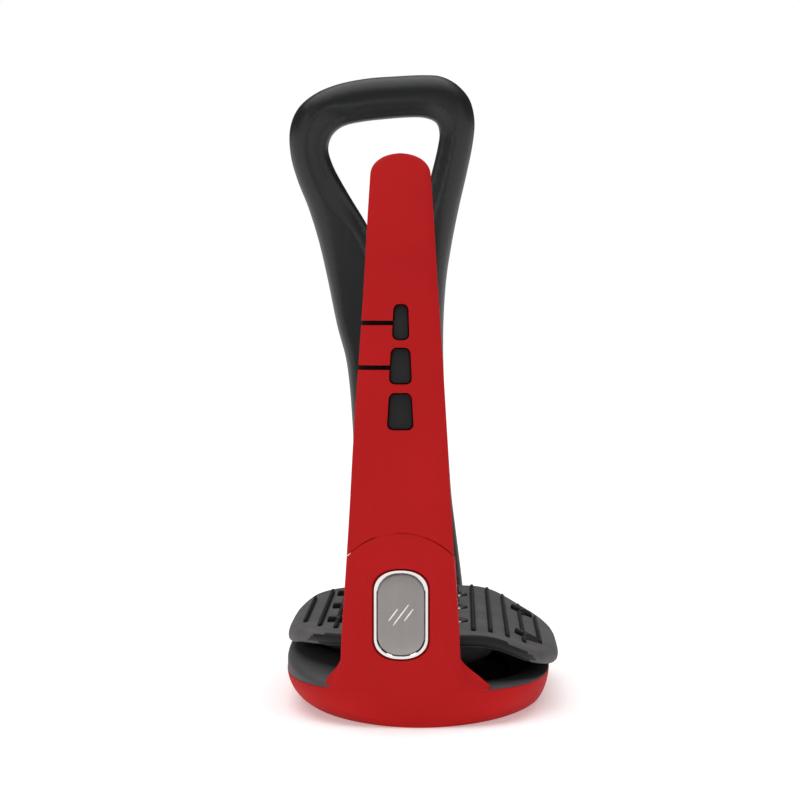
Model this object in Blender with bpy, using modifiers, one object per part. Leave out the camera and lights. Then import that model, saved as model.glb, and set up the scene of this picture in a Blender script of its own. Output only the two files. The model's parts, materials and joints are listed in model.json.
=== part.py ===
"""Left-hand riding safety stirrup: a black inner branch with a leather eye, a red base cover and a red outer
branch that flexes outwards, and a ribbed tread that tilts on two crossed axles.

Units are metres. +X is the heel side, -X the toe side, -Y the outer side, +Y the horse's side, +Z up.
The origin is on the floor, under the middle of the base, on the centre line of the two branches.
"""

import math

import bmesh
import bpy
from mathutils import Vector

# Base: outlines are superellipses given as (centre X, half length X, half width Y, power)
GAP = 0.0003
RIM_Z = 0.009
RIM = (0.0037, 0.0344, 0.0675, 3.0)
HULL_FOOT = (0.0045, 0.0318, 0.0670, 1.95)
HULL_SHAPE = ((0.0003, 1.0), (0.0018, 0.72), (0.0036, 0.42), (0.0060, 0.16), (RIM_Z, 0.0))
SOLE = (0.005, 0.0288, 0.0638, 2.0)
SOLE_THICKNESS = 0.0016
SKIRT_WALL = 0.0018
DECK_RISE_TOE = 0.0072
DECK_RISE_HEEL = 0.0005
WELL = (0.0010, 0.0268, 0.0404, 2.6)
WELL_FLOOR_Z = 0.0042
HEEL_HOLLOW = (0.0170, 0.0168, 0.0500, 2.4)
HEEL_HOLLOW_FLOOR_Z = 0.0062

# Outer column: its half width at heights, shared by the fixed tongue and the flexing branch
COLUMN_FRONT_Y = -0.0675
COLUMN_DEPTH = 0.0085
TONGUE_WALL = 0.0028
COLUMN_HALF_WIDTH = (
    (0.009, 0.0150), (0.017, 0.0147), (0.027, 0.0143), (0.051, 0.0126), (0.071, 0.0115),
    (0.095, 0.0100), (0.1095, 0.0091), (0.125, 0.0083), (0.1367, 0.0076),
)
FLARE_TOE_X = -0.0188
FLARE_HEEL_X = 0.0218
FLARE_TOP_Z = 0.0165
TONGUE_FOOT_Z = 0.0078
TIP_Z = 0.1416
SEAM_CROWN_Z = 0.0478
SEAM_RADIUS = 0.0174
SEAM_SIDE_Z = 0.0430
LEAN_START_Z = 0.060
LEAN_OUTER = 0.0295
LEAN_POWER = 1.9
COVER_DEPTH = 0.0036
BLADE_SWING = 0.0037
WINDOWS = ((0.0992, 0.0040, 0.0089), (0.0885, 0.00525, 0.0090), (0.07745, 0.0061, 0.0091))
WINDOW_CORNER = 0.0015
WINDOW_RECESS = 0.0009
SLITS = (0.0990, 0.0881)
SLIT_HEIGHT = 0.0012
BEND_HEIGHTS = [0.052 + 0.008 * k for k in range(12)]

# Badge in the tongue
BADGE = (0.0002, 0.0279, 0.0134, 0.0219)
BADGE_POCKET_DEPTH = 0.0012
BEZEL_WIDTH = 0.0009

# Inner branch with the eye: outlines in X and Z
ARCH_BASE_Y = 0.0627
ARCH_EYE_Y = 0.0055
ARCH_LEAN_START_Z = 0.045
ARCH_LEAN_END_Z = 0.158
ARCH_DEPTH = 0.0095
ARCH_EYE_DEPTH = 0.0125
ARCH_FOOT_X = (-0.0160, 0.0165)
ARCH_FOOT_Z = 0.0045
ARCH_OUTLINE = (
    (-0.0160, 0.0100), (-0.0163, 0.0400), (-0.0163, 0.0680), (-0.0165, 0.0740), (-0.0175, 0.0860),
    (-0.0199, 0.0970), (-0.0220, 0.1100), (-0.0240, 0.1200), (-0.0258, 0.1270), (-0.0280, 0.1330),
    (-0.0302, 0.1385), (-0.0314, 0.1440), (-0.0312, 0.1505), (-0.0289, 0.1555), (-0.0252, 0.1590),
    (-0.0206, 0.1612), (-0.0157, 0.1626), (-0.0100, 0.1635), (-0.0025, 0.1641), (0.0050, 0.1644),
    (0.0088, 0.1641), (0.0125, 0.1626), (0.0163, 0.1592), (0.0181, 0.1550), (0.0184, 0.1513),
    (0.0178, 0.1460), (0.0163, 0.1385), (0.0142, 0.1290), (0.0122, 0.1190), (0.0108, 0.1100),
    (0.0098, 0.0950), (0.0100, 0.0830), (0.0108, 0.0680), (0.0121, 0.0480), (0.0131, 0.0400),
    (0.0157, 0.0200), (0.0165, 0.0100),
)
EYE_WINDOW = (
    (-0.0208, 0.1450), (-0.0199, 0.1480), (-0.0169, 0.1506), (-0.0120, 0.1519), (-0.0063, 0.1525),
    (0.0012, 0.1531), (0.0050, 0.1530), (0.0078, 0.1517), (0.0089, 0.1495), (0.0088, 0.1470),
    (0.0080, 0.1430), (0.0067, 0.1380), (0.0050, 0.1320), (0.0030, 0.1260), (0.0008, 0.1200),
    (-0.0012, 0.1163), (-0.0037, 0.1144), (-0.0062, 0.1158), (-0.0088, 0.1205), (-0.0108, 0.1246),
    (-0.0132, 0.1286), (-0.0155, 0.1325), (-0.0178, 0.1366), (-0.0199, 0.1408),
)

# Tread and its cross joint
TREAD = (0.005, 0.0355, 0.0562, 3.3)
TREAD_TOP = (
    (-0.0305, 0.0190), (-0.0275, 0.0204), (-0.0250, 0.0213), (-0.0200, 0.0218), (-0.0100, 0.0220),
    (0.0150, 0.0220), (0.0200, 0.0218), (0.0240, 0.0209), (0.0275, 0.0194), (0.0318, 0.0173),
    (0.0357, 0.0157), (0.0405, 0.0139),
)
TREAD_EDGE = 0.0037
TREAD_PLATE = (-0.0010, 0.0215, 0.0440, 2.7)
TREAD_PLATE_Z = 0.0183
TREAD_PLATE_THICKNESS = 0.0012
RIB_FIRST_X = -0.0255
RIB_PITCH = 0.00435
RIB_COUNT = 15
RIB_WIDTH = 0.00095
RIB_HEIGHT = 0.0010
RIB_INSET = 0.0057
RIB_OUTLINE_POWER = 2.9
PITCH_AXIS = (0.005, 0.0072)
ROLL_AXIS_Z = 0.0116
AXLE_RADIUS = 0.0015
AXLE_CLEARANCE = 0.00005
BLOCK_HALF = (0.0042, 0.0042)
BOWL_TOP_Z = 0.0160
BOWL_RINGS = (
    (0.0094, (0.0020, 0.0185, 0.0310, 2.4)), (0.0110, (0.0015, 0.0215, 0.0345, 2.4)),
    (0.0128, (0.0010, 0.0238, 0.0368, 2.5)), (0.0145, (0.0008, 0.0252, 0.0382, 2.5)),
    (BOWL_TOP_Z, (0.0006, 0.0260, 0.0390, 2.6)),
)
BOWL_HEAD = (-0.0015, 0.0203, 0.0375, 2.6)
BOWL_HEAD_Z = 0.0180
SCREW_COLUMNS_X = (0.0125, -0.0010)
SCREW_ROWS_Y = (-0.029, 0.001, 0.031)
SCREW_HEAD_RADIUS = 0.0042
STUD_HALF = 0.0030
STUDS = ((0.0317, -0.027), (0.0317, 0.027), (-0.0165, -0.030), (-0.0165, 0.0), (-0.0165, 0.030))

# Fasteners: clamp screws as (X, Z), sole screws as (X, Y)
CLAMP_SCREWS = ((-0.0062, 0.0165), (0.0062, 0.0165), (-0.0062, 0.0345), (0.0062, 0.0345))
SOLE_SCREWS = ((-0.0090, -0.042), (0.0190, -0.042), (-0.0090, 0.042), (0.0190, 0.042))
SOLE_SCREW_TIP_Z = 0.0052
FRAME_SCREWS_X = (-0.0095, 0.0095)
FRAME_SCREW_Z = 0.0066
FRAME_SCREW_TIP_Y = 0.0500
FRAME_SCREW_SEAT = 0.0018

RED = (0.42, 0.018, 0.020)
BLACK = (0.020, 0.021, 0.021)
PAD_GREY = (0.060, 0.058, 0.059)
DECK_GREY = (0.075, 0.074, 0.073)
STEEL = (0.56, 0.55, 0.54)

PARTS_NAME = "riding_stirrup"
CUTTERS_NAME = "cutters"


def clear_scene():
    """Empties the scene and makes the two collections."""
    for obj in list(bpy.data.objects):
        bpy.data.objects.remove(obj)
    for name in (PARTS_NAME, CUTTERS_NAME):
        bpy.context.scene.collection.children.link(bpy.data.collections.new(name))


def material(name, colour, roughness, metallic=0.0):
    """A plain Principled finish."""
    made = bpy.data.materials.new(name)
    made.use_nodes = True
    shader = made.node_tree.nodes["Principled BSDF"]
    shader.inputs["Base Color"].default_value = (*colour, 1.0)
    shader.inputs["Roughness"].default_value = roughness
    shader.inputs["Metallic"].default_value = metallic
    return made


def new_object(name, mesh, collection=PARTS_NAME):
    obj = bpy.data.objects.new(name, mesh)
    bpy.data.collections[collection].objects.link(obj)
    if collection == CUTTERS_NAME:
        obj.hide_render = True
        obj.display_type = "WIRE"
    return obj


def mesh_object(name, bm, collection=PARTS_NAME, recalculate=True):
    """Closes a bmesh into an object, with its faces turned outwards."""
    if recalculate:
        bmesh.ops.recalc_face_normals(bm, faces=bm.faces)
    mesh = bpy.data.meshes.new(name)
    bm.to_mesh(mesh)
    bm.free()
    return new_object(name, mesh, collection)


def superellipse(outline, count=36):
    """Points of one superellipse, anticlockwise from its heel end."""
    centre, half_x, half_y, power = outline
    points = []
    for step in range(count):
        angle = math.tau * step / count
        c, s = math.cos(angle), math.sin(angle)
        x = centre + half_x * math.copysign(abs(c) ** (2 / power), c)
        points.append((x, half_y * math.copysign(abs(s) ** (2 / power), s)))
    return points


def inset(outline, by):
    centre, half_x, half_y, power = outline
    return (centre, half_x - by, half_y - by, power)


def loft(name, rings, collection=PARTS_NAME):
    """A closed body through rings of equal count, from the lowest to the highest."""
    bm = bmesh.new()
    rows = [[bm.verts.new(point) for point in ring] for ring in rings]
    for low, high in zip(rows, rows[1:]):
        for i in range(len(low)):
            j = (i + 1) % len(low)
            bm.faces.new((low[i], low[j], high[j], high[i]))
    bm.faces.new(list(reversed(rows[0])))
    bm.faces.new(rows[-1])
    return mesh_object(name, bm, collection)


def disc_ring(outline, z, count=36):
    return [(x, y, z) for x, y in superellipse(outline, count)]


def flat_outline(name, loops, low, high, collection=PARTS_NAME):
    """A filled 2D curve with its outlines in X and Z, given thickness from Y low to Y high."""
    curve = bpy.data.curves.new(name, "CURVE")
    curve.dimensions = "2D"
    curve.fill_mode = "BOTH"
    curve.extrude = (high - low) / 2
    for loop in loops:
        spline = curve.splines.new("POLY")
        spline.points.add(len(loop) - 1)
        for point, (u, v) in zip(spline.points, loop):
            point.co = (u, v, 0.0, 1.0)
        spline.use_cyclic_u = True
    guide = bpy.data.objects.new(name + "_outline", curve)
    bpy.context.scene.collection.objects.link(guide)
    bpy.context.view_layer.update()
    graph = bpy.context.evaluated_depsgraph_get()
    mesh = bpy.data.meshes.new_from_object(guide.evaluated_get(graph))
    bpy.data.objects.remove(guide)
    bm = bmesh.new()
    bm.from_mesh(mesh)
    bpy.data.meshes.remove(mesh)
    bmesh.ops.remove_doubles(bm, verts=bm.verts, dist=0.000001)
    bmesh.ops.dissolve_limit(bm, angle_limit=0.001, verts=bm.verts, edges=bm.edges)
    middle = (low + high) / 2
    for vert in bm.verts:
        u, v, w = vert.co
        vert.co = (u, middle + w, v)
    return mesh_object(name, bm, collection)


def slice_at(obj, heights):
    """Cuts an object's faces at each height, so that it can be bent there."""
    bm = bmesh.new()
    bm.from_mesh(obj.data)
    for z in heights:
        bmesh.ops.bisect_plane(
            bm, geom=bm.verts[:] + bm.edges[:] + bm.faces[:], dist=1e-7, plane_co=(0, 0, z), plane_no=(0, 0, 1)
        )
    bm.to_mesh(obj.data)
    bm.free()


def shift_y(obj, offset):
    """Moves each point of an object along Y by offset(z)."""
    for vert in obj.data.vertices:
        vert.co.y += offset(vert.co.z)


def bevel(obj, width, segments=2, angle=40):
    modifier = obj.modifiers.new("Bevel", "BEVEL")
    modifier.width = width
    modifier.segments = segments
    modifier.limit_method = "ANGLE"
    modifier.angle_limit = math.radians(angle)


def settle(obj):
    """Applies an object's modifiers."""
    bpy.context.view_layer.update()
    graph = bpy.context.evaluated_depsgraph_get()
    mesh = bpy.data.meshes.new_from_object(obj.evaluated_get(graph))
    obj.modifiers.clear()
    old, obj.data = obj.data, mesh
    bpy.data.meshes.remove(old)
    mesh.name = obj.name


def boolean(obj, other, operation="DIFFERENCE", solver="EXACT"):
    """Cuts or joins an object with another, which is used up."""
    modifier = obj.modifiers.new(operation.title(), "BOOLEAN")
    modifier.object = other
    modifier.operation = operation
    modifier.solver = solver
    settle(obj)
    bpy.data.objects.remove(other)


def cylinder(name, radius, start, end, collection=PARTS_NAME, sides=14, top_radius=None):
    """A round bar between two points."""
    start, end = Vector(start), Vector(end)
    along = end - start
    bm = bmesh.new()
    bmesh.ops.create_cone(
        bm, cap_ends=True, segments=sides, radius1=radius,
        radius2=radius if top_radius is None else top_radius, depth=along.length,
    )
    turn = Vector((0, 0, 1)).rotation_difference(along).to_matrix()
    for vert in bm.verts:
        vert.co = turn @ vert.co + (start + end) / 2
    return mesh_object(name, bm, collection, recalculate=False)


def hole_along_y(x, z, radius, start_y, end_y, sides=10):
    """A cutter for a round hole that runs along Y."""
    return cylinder("hole", radius, (x, start_y, z), (x, end_y, z), CUTTERS_NAME, sides)


def box(name, low, high, collection=PARTS_NAME):
    bm = bmesh.new()
    bmesh.ops.create_cube(bm, size=1.0)
    for vert in bm.verts:
        vert.co = [a + (b - a) * (c + 0.5) for a, b, c in zip(low, high, vert.co)]
    return mesh_object(name, bm, collection)


def numbered(name, objects):
    """Names the copies of one piece name_1, name_2 and so on."""
    for number, obj in enumerate(objects, 1):
        obj.name = f"{name}_{number}"
    return objects


def between(table, at):
    """Reads a table of (place, value) with a smooth Catmull-Rom curve through it."""
    last = len(table) - 1
    if at <= table[0][0]:
        return table[0][1]
    if at >= table[last][0]:
        return table[last][1]
    i = max(k for k in range(last) if table[k][0] <= at)
    slopes = []
    for k in (i, i + 1):
        a, b = table[max(k - 1, 0)], table[min(k + 1, last)]
        slopes.append((b[1] - a[1]) / (b[0] - a[0]))
    span = table[i + 1][0] - table[i][0]
    t = (at - table[i][0]) / span
    p, q = table[i][1], table[i + 1][1]
    return (
        (2 * t**3 - 3 * t**2 + 1) * p + (t**3 - 2 * t**2 + t) * span * slopes[0]
        + (3 * t**2 - 2 * t**3) * q + (t**3 - t**2) * span * slopes[1]
    )


def smooth_step(low, high, at):
    t = min(max((at - low) / (high - low), 0.0), 1.0)
    return t * t * (3 - 2 * t)


def half_width(z):
    return between(COLUMN_HALF_WIDTH, z)


def outer_lean(z):
    """How far the outer branch's front stands in from the base's, at a height."""
    along = max(z - LEAN_START_Z, 0.0) / (TIP_Z - LEAN_START_Z)
    return LEAN_OUTER * along**LEAN_POWER


def seam(offset=0.0, steps=12, half=None):
    """The arc between tongue and branch, from toe side to heel side, raised by offset."""
    centre = SEAM_CROWN_Z - SEAM_RADIUS
    reach = half_width(SEAM_SIDE_Z) if half is None else half
    points = []
    for step in range(steps + 1):
        x = -reach + 2 * reach * step / steps
        points.append((x, centre + math.sqrt(SEAM_RADIUS**2 - min(abs(x), SEAM_RADIUS) ** 2) + offset))
    return points


def tongue_outline(grow=0.0, foot_z=TONGUE_FOOT_Z, offset=0.0):
    """The tongue from the front: the arc on top, the column's sides and the flares down to the rim."""
    top = [(x, z) for x, z in reversed(seam(offset, half=half_width(SEAM_SIDE_Z) + grow))]
    heights = (0.036, 0.030, 0.023, FLARE_TOP_Z)
    toe = [(-half_width(z) - grow, z) for z in heights]
    heel = [(half_width(z) + grow, z) for z in reversed(heights)]
    toe_flare, heel_flare = [], []
    base = half_width(FLARE_TOP_Z)
    for step in range(1, 7):
        drop = FLARE_TOP_Z + (RIM_Z - FLARE_TOP_Z) * step / 6
        out = smooth_step(0, 6, step)
        toe_flare.append((-base - grow + (FLARE_TOE_X + base) * out, drop))
        heel_flare.append((base + grow + (FLARE_HEEL_X - base) * out, drop))
    foot = [(FLARE_TOE_X - grow, foot_z), (FLARE_HEEL_X + grow, foot_z)]
    return top + toe + toe_flare + foot + list(reversed(heel_flare)) + heel


def deck_height(x, y):
    """The deck over the rim: a shoulder that is high on the toe side and low under the tread's heel end."""
    centre, half_x, half_y, _ = RIM
    rise = DECK_RISE_TOE + (DECK_RISE_HEEL - DECK_RISE_TOE) * smooth_step(-0.006, 0.020, x)
    across = min(abs(y) / half_y, 1.0)
    width = max(half_x * (1 - across**3) ** (1 / 3), 0.0001)
    part = min(abs(x - centre) / width, 1.0)
    return RIM_Z + rise * (1 - across**2.2) * (1 - part**8) ** 0.25


def hull_ring(z, share, by):
    """One ring of the hull: share 0 is the rim's outline and share 1 the foot's, drawn in by a distance."""
    outline = [rim + (foot - rim) * share for rim, foot in zip(RIM, HULL_FOOT)]
    return disc_ring(inset(outline, by), z)


def base_cover():
    """The red hull and the tongue in one shell, open behind the tongue and under the hull."""
    cover = loft("base_cover", [hull_ring(z, share, 0.0) for z, share in HULL_SHAPE])
    inner = list(HULL_SHAPE)
    inner[0] = (HULL_SHAPE[0][0] - 0.001, 1.0)
    inner[-1] = (RIM_Z + 0.001, 0.0)
    hollow = loft("hull_hollow", [hull_ring(z, share, SKIRT_WALL) for z, share in inner], CUTTERS_NAME)
    boolean(cover, hollow)
    back = COLUMN_FRONT_Y + COLUMN_DEPTH
    tongue = flat_outline("tongue", [tongue_outline()], COLUMN_FRONT_Y, back, CUTTERS_NAME)
    bevel(tongue, 0.0028, 2, 60)
    settle(tongue)
    clip = loft("flare_clip", [disc_ring(inset(RIM, 0.00005), z, 72) for z in (0.0, FLARE_TOP_Z)], CUTTERS_NAME)
    beyond = box("beyond", (-0.05, -0.08, 0.0005), (0.05, -0.05, FLARE_TOP_Z - 0.0005), CUTTERS_NAME)
    boolean(beyond, clip)
    boolean(tongue, beyond)
    boolean(cover, tongue, "UNION")
    pocket = flat_outline("post_pocket", [post_outline(GAP)], COLUMN_FRONT_Y + TONGUE_WALL, 0.0, CUTTERS_NAME)
    boolean(cover, pocket)
    back_room = back - BLADE_SWING
    passage = box("blade_passage", (-0.0056, back_room, 0.0385), (0.0056, back + 0.01, 0.0500), CUTTERS_NAME)
    boolean(cover, passage)
    foot_low, foot_high = ARCH_BASE_Y - ARCH_DEPTH / 2 - GAP, 0.08
    boolean(cover, flat_outline("foot_notch", [arch_foot_outline(GAP)], foot_low, foot_high, CUTTERS_NAME))
    pocket_floor = COLUMN_FRONT_Y + BADGE_POCKET_DEPTH
    boolean(cover, badge_prism("badge_pocket", GAP, COLUMN_FRONT_Y - 0.002, pocket_floor))
    return cover


def post_outline(grow=0.0):
    """The base's post behind the tongue, from the front."""
    top = [(x * 0.78, z - 0.0058 + grow) for x, z in reversed(seam(half=0.0112 + grow))]
    return top + [(-0.0112 - grow, 0.0045), (0.0112 + grow, 0.0045)]


def rounded(centre_x, centre_z, width, height, radius, steps=4):
    """A rounded rectangle, anticlockwise."""
    points = []
    for quarter, (sx, sz) in enumerate(((1, 1), (-1, 1), (-1, -1), (1, -1))):
        for step in range(steps + 1):
            angle = math.pi / 2 * (quarter + step / steps)
            points.append((
                centre_x + sx * (width / 2 - radius) + radius * math.cos(angle),
                centre_z + sz * (height / 2 - radius) + radius * math.sin(angle),
            ))
    return points


def badge_prism(name, grow, low, high, collection=CUTTERS_NAME):
    x, z, width, height = BADGE
    outline = rounded(x, z, width + 2 * grow, height + 2 * grow, width / 2 - 0.0008 + grow, 8)
    return flat_outline(name, [outline], low, high, collection)


def badge():
    """Bezel ring and plate, flush with the tongue's face."""
    back = COLUMN_FRONT_Y + BADGE_POCKET_DEPTH - GAP
    bezel = badge_prism("badge_bezel", 0.0, COLUMN_FRONT_Y, back, PARTS_NAME)
    boolean(bezel, badge_prism("bezel_hole", -BEZEL_WIDTH, COLUMN_FRONT_Y - 0.003, 0.0))
    plate = badge_prism("badge_plate", -BEZEL_WIDTH - GAP, COLUMN_FRONT_Y + 0.0003, back, PARTS_NAME)
    return [bezel, plate]


def base_body():
    """The casting inside the hull: deck, well for the bowl, lugs of the pitch axle, post and branch socket."""
    inner = inset(RIM, SKIRT_WALL + GAP)
    rings = [hull_ring(z, share, SKIRT_WALL + GAP) for z, share in ((0.0030, 0.55), (0.0060, 0.17))]
    rings.append(disc_ring(inner, RIM_Z + GAP))
    for scale in (0.998, 0.985, 0.95, 0.90, 0.82, 0.72):
        outline = (RIM[0], RIM[1] * scale, RIM[2] * scale, RIM[3])
        rings.append([(x, y, max(deck_height(x, y), RIM_Z) + GAP) for x, y in superellipse(outline)])
    body = loft("base_body", rings)
    for outline, floor in ((WELL, WELL_FLOOR_Z), (HEEL_HOLLOW, HEEL_HOLLOW_FLOOR_Z)):
        boolean(body, loft("well", [disc_ring(outline, floor), disc_ring(outline, 0.03)], CUTTERS_NAME))
    side = PITCH_AXIS[0]
    for sign in (-1, 1):
        near, far = sorted((sign * (BLOCK_HALF[1] + GAP), sign * 0.0085))
        low, high = (side - 0.0035, near, WELL_FLOOR_Z - 0.001), (side + 0.0035, far, 0.0098)
        boolean(body, box("lug", low, high, CUTTERS_NAME), "UNION")
    start, end = (side, -0.02, PITCH_AXIS[1]), (side, 0.02, PITCH_AXIS[1])
    boolean(body, cylinder("bore", AXLE_RADIUS + AXLE_CLEARANCE, start, end, CUTTERS_NAME))
    back = COLUMN_FRONT_Y + COLUMN_DEPTH
    outline = tongue_outline(GAP, TONGUE_FOOT_Z - GAP)
    boolean(body, flat_outline("relief", [outline], COLUMN_FRONT_Y - 0.01, back + GAP, CUTTERS_NAME))
    post_front = COLUMN_FRONT_Y + TONGUE_WALL + GAP
    post = flat_outline("post", [post_outline()], post_front, back + 0.0014, CUTTERS_NAME)
    boolean(body, post, "UNION")
    recess = box("clamp_recess", (-0.0082, back - 0.0008, 0.0135), (0.0082, back + 0.01, 0.0376), CUTTERS_NAME)
    boolean(body, recess, solver="MANIFOLD")
    slot = box("blade_slot", (-0.0053, back - 0.0020, 0.0130), (0.0053, back + 0.01, 0.0600), CUTTERS_NAME)
    boolean(body, slot)
    for x, z in CLAMP_SCREWS:
        boolean(body, hole_along_y(x, z, 0.00125, back - 0.0045, back + 0.01))
    socket_low = ARCH_BASE_Y - ARCH_DEPTH / 2 - GAP
    boolean(body, flat_outline("socket", [arch_foot_outline(GAP)], socket_low, 0.08, CUTTERS_NAME))
    for x, y in SOLE_SCREWS:
        boolean(body, cylinder("hole", 0.0013, (x, y, 0.0), (x, y, SOLE_SCREW_TIP_Z + GAP), CUTTERS_NAME, 10))
    for x in FRAME_SCREWS_X:
        boolean(body, hole_along_y(x, FRAME_SCREW_Z, 0.0016, FRAME_SCREW_TIP_Y - 0.003, 0.08))
    return body


def arch_foot_outline(grow=0.0, top_z=0.03):
    """The foot of the inner branch that sits in the base's socket."""
    toe, heel, low = ARCH_FOOT_X[0] - grow, ARCH_FOOT_X[1] + grow, ARCH_FOOT_Z - grow
    return [(toe, low), (heel, low), (heel, top_z), (toe, top_z)]


def frame_arch():
    """The inner branch and the eye: one outline with a window, bent inwards over its height."""
    outline = [(ARCH_FOOT_X[0], ARCH_FOOT_Z), *ARCH_OUTLINE, (ARCH_FOOT_X[1], ARCH_FOOT_Z)]
    half = ARCH_DEPTH / 2
    arch = flat_outline("frame_arch", [outline, EYE_WINDOW], ARCH_BASE_Y - half, ARCH_BASE_Y + half)
    slice_at(arch, [0.045 + 0.006 * k for k in range(20)])
    for vert in arch.data.vertices:
        share = smooth_step(ARCH_LEAN_START_Z, ARCH_LEAN_END_Z, vert.co.z)
        depth = 1 + (ARCH_EYE_DEPTH / ARCH_DEPTH - 1) * share
        middle = ARCH_BASE_Y + (ARCH_EYE_Y - ARCH_BASE_Y) * share
        vert.co.y = middle + (vert.co.y - ARCH_BASE_Y) * depth
    bevel(arch, 0.0032, 2, 50)
    settle(arch)
    for x in FRAME_SCREWS_X:
        boolean(arch, hole_along_y(x, FRAME_SCREW_Z, 0.0016, ARCH_BASE_Y - 0.02, ARCH_BASE_Y + 0.02))
        seat = ARCH_BASE_Y + half - FRAME_SCREW_SEAT
        boolean(arch, hole_along_y(x, FRAME_SCREW_Z, 0.0027, seat, seat + 0.01, 14))
    return arch


def branch_outline(offset=0.0, inset_by=0.0):
    """The flexing branch from the front, from the arc seam to the round tip."""
    low = [(x, z) for x, z in seam(offset, half=half_width(SEAM_SIDE_Z) - inset_by)]
    heights = [0.051, 0.059, 0.067, 0.075, 0.083, 0.091, 0.099, 0.107, 0.115, 0.123, 0.130, 0.1355]
    heel = [(half_width(z) - inset_by, z) for z in heights]
    toe = [(-half_width(z) + inset_by, z) for z in reversed(heights)]
    cap = []
    half, rise = half_width(0.1355) - inset_by, TIP_Z - 0.1355 - inset_by
    for step in range(1, 12):
        angle = math.pi * step / 12
        cap.append((half * math.cos(angle), 0.1355 + rise * math.sin(angle) ** 0.9))
    return low + heel + cap + toe


def branch_slab(name, outline, low, high, collection=PARTS_NAME):
    """A slab of the outer branch, bent inwards with it."""
    slab = flat_outline(name, [outline], low, high, collection)
    slice_at(slab, BEND_HEIGHTS)
    shift_y(slab, outer_lean)
    return slab


def window_cutters(grow):
    """One cutter for each window, bent with the branch."""
    cutters = []
    for z, width, height in WINDOWS:
        outline = rounded(0.0, z, width + 2 * grow, height + 2 * grow, WINDOW_CORNER + grow, 3)
        front = COLUMN_FRONT_Y + outer_lean(z)
        far = front + COVER_DEPTH + 0.002
        cutters.append(flat_outline("window", [outline], front - 0.006, far, CUTTERS_NAME))
    return cutters


def outer_branch():
    """Cover, core with bosses in the windows, spring blade and cover screws of the flexing branch."""
    front, back = COLUMN_FRONT_Y, COLUMN_FRONT_Y + COLUMN_DEPTH
    cover = branch_slab("branch_cover", branch_outline(GAP), front, front + COVER_DEPTH)
    bevel(cover, 0.0016, 2, 60)
    settle(cover)
    for cutter in window_cutters(0.0):
        boolean(cover, cutter)
    for z in SLITS:
        at = outer_lean(z) + front
        low = (-0.02, at - 0.004, z - SLIT_HEIGHT / 2)
        slit = box("slit", low, (-0.001, at + 0.006, z + SLIT_HEIGHT / 2), CUTTERS_NAME)
        boolean(cover, slit, solver="MANIFOLD")
    core = branch_slab("branch_core", branch_outline(GAP), front + COVER_DEPTH + GAP, back)
    bevel(core, 0.0009, 1, 60)
    settle(core)
    for z, width, height in WINDOWS:
        outline = rounded(0.0, z, width - 2 * GAP, height - 2 * GAP, WINDOW_CORNER, 3)
        low = front + WINDOW_RECESS
        boss = branch_slab("boss", outline, low, front + COVER_DEPTH + 0.002, CUTTERS_NAME)
        boolean(core, boss, "UNION")
    blade_y = back - 0.0016
    blade = branch_slab("spring_blade", rounded(0, 0.0875, 0.0100, 0.0885, 0.001, 2), blade_y, blade_y + 0.0008)
    slot_outline = rounded(0, 0.0835, 0.0106, 0.0970, 0.001, 2)
    boolean(core, branch_slab("slot", slot_outline, blade_y - GAP, blade_y + 0.0008 + GAP, CUTTERS_NAME))
    return [cover, core, blade]


def blade_root_and_clamp():
    """The blade's root in the post, the clamp plate over it and the four screws."""
    back = COLUMN_FRONT_Y + COLUMN_DEPTH
    root = box("blade_root", (-0.0050, back - 0.0016, 0.0140), (0.0050, back - 0.0008, 0.0420))
    plate = box("blade_clamp", (-0.0079, back - 0.0008 + GAP, 0.0138), (0.0079, back + 0.0012, 0.0373))
    screws = []
    for x, z in CLAMP_SCREWS:
        boolean(plate, hole_along_y(x, z, 0.00125, back - 0.004, back + 0.004))
        boolean(plate, hole_along_y(x, z, 0.0021, back + 0.0002, back + 0.004, 14))
        tip, under_head, top = (x, back - 0.0040, z), (x, back + 0.0005, z), (x, back + 0.0011, z)
        screws.append(screw(tip, under_head, top, 0.00095, 0.0018))
    return [root, plate, *numbered("blade_screw", screws)]


def screw(tip, under_head, top, radius, head_radius, sides=10):
    """A screw with a round head and a hexagonal socket in it."""
    head_low, head_high = Vector(under_head), Vector(top)
    along = head_high - head_low
    body = cylinder("screw", radius, tip, head_low + along * 0.3, sides=sides)
    boolean(body, cylinder("head", head_radius, head_low, head_high, CUTTERS_NAME, sides + 4), "UNION")
    socket_low, socket_high = head_high - along * 0.6, head_high + along
    boolean(body, cylinder("socket", head_radius * 0.5, socket_low, socket_high, CUTTERS_NAME, 6))
    return body


def sole():
    """Sole plate with four countersunk holes and its screws."""
    plate = loft("sole_plate", [
        disc_ring(inset(SOLE, 0.0006), 0.0), disc_ring(SOLE, 0.0005),
        disc_ring(inset(SOLE, 0.0002), SOLE_THICKNESS),
    ])
    raised = inset(SOLE, 0.006)
    pad = loft("spacer", [disc_ring(raised, 0.001), disc_ring(raised, 0.0027)], CUTTERS_NAME)
    boolean(plate, pad, "UNION")
    screws = []
    for x, y in SOLE_SCREWS:
        boolean(plate, cylinder("hole", 0.0014, (x, y, -0.001), (x, y, 0.005), CUTTERS_NAME, 10))
        boolean(plate, cylinder("seat", 0.0030, (x, y, -0.001), (x, y, 0.0013), CUTTERS_NAME, 14))
        screws.append(screw((x, y, SOLE_SCREW_TIP_Z), (x, y, 0.0010), (x, y, 0.0003), 0.0010, 0.0026))
    return [plate, numbered("sole_screw", screws)]


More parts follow.
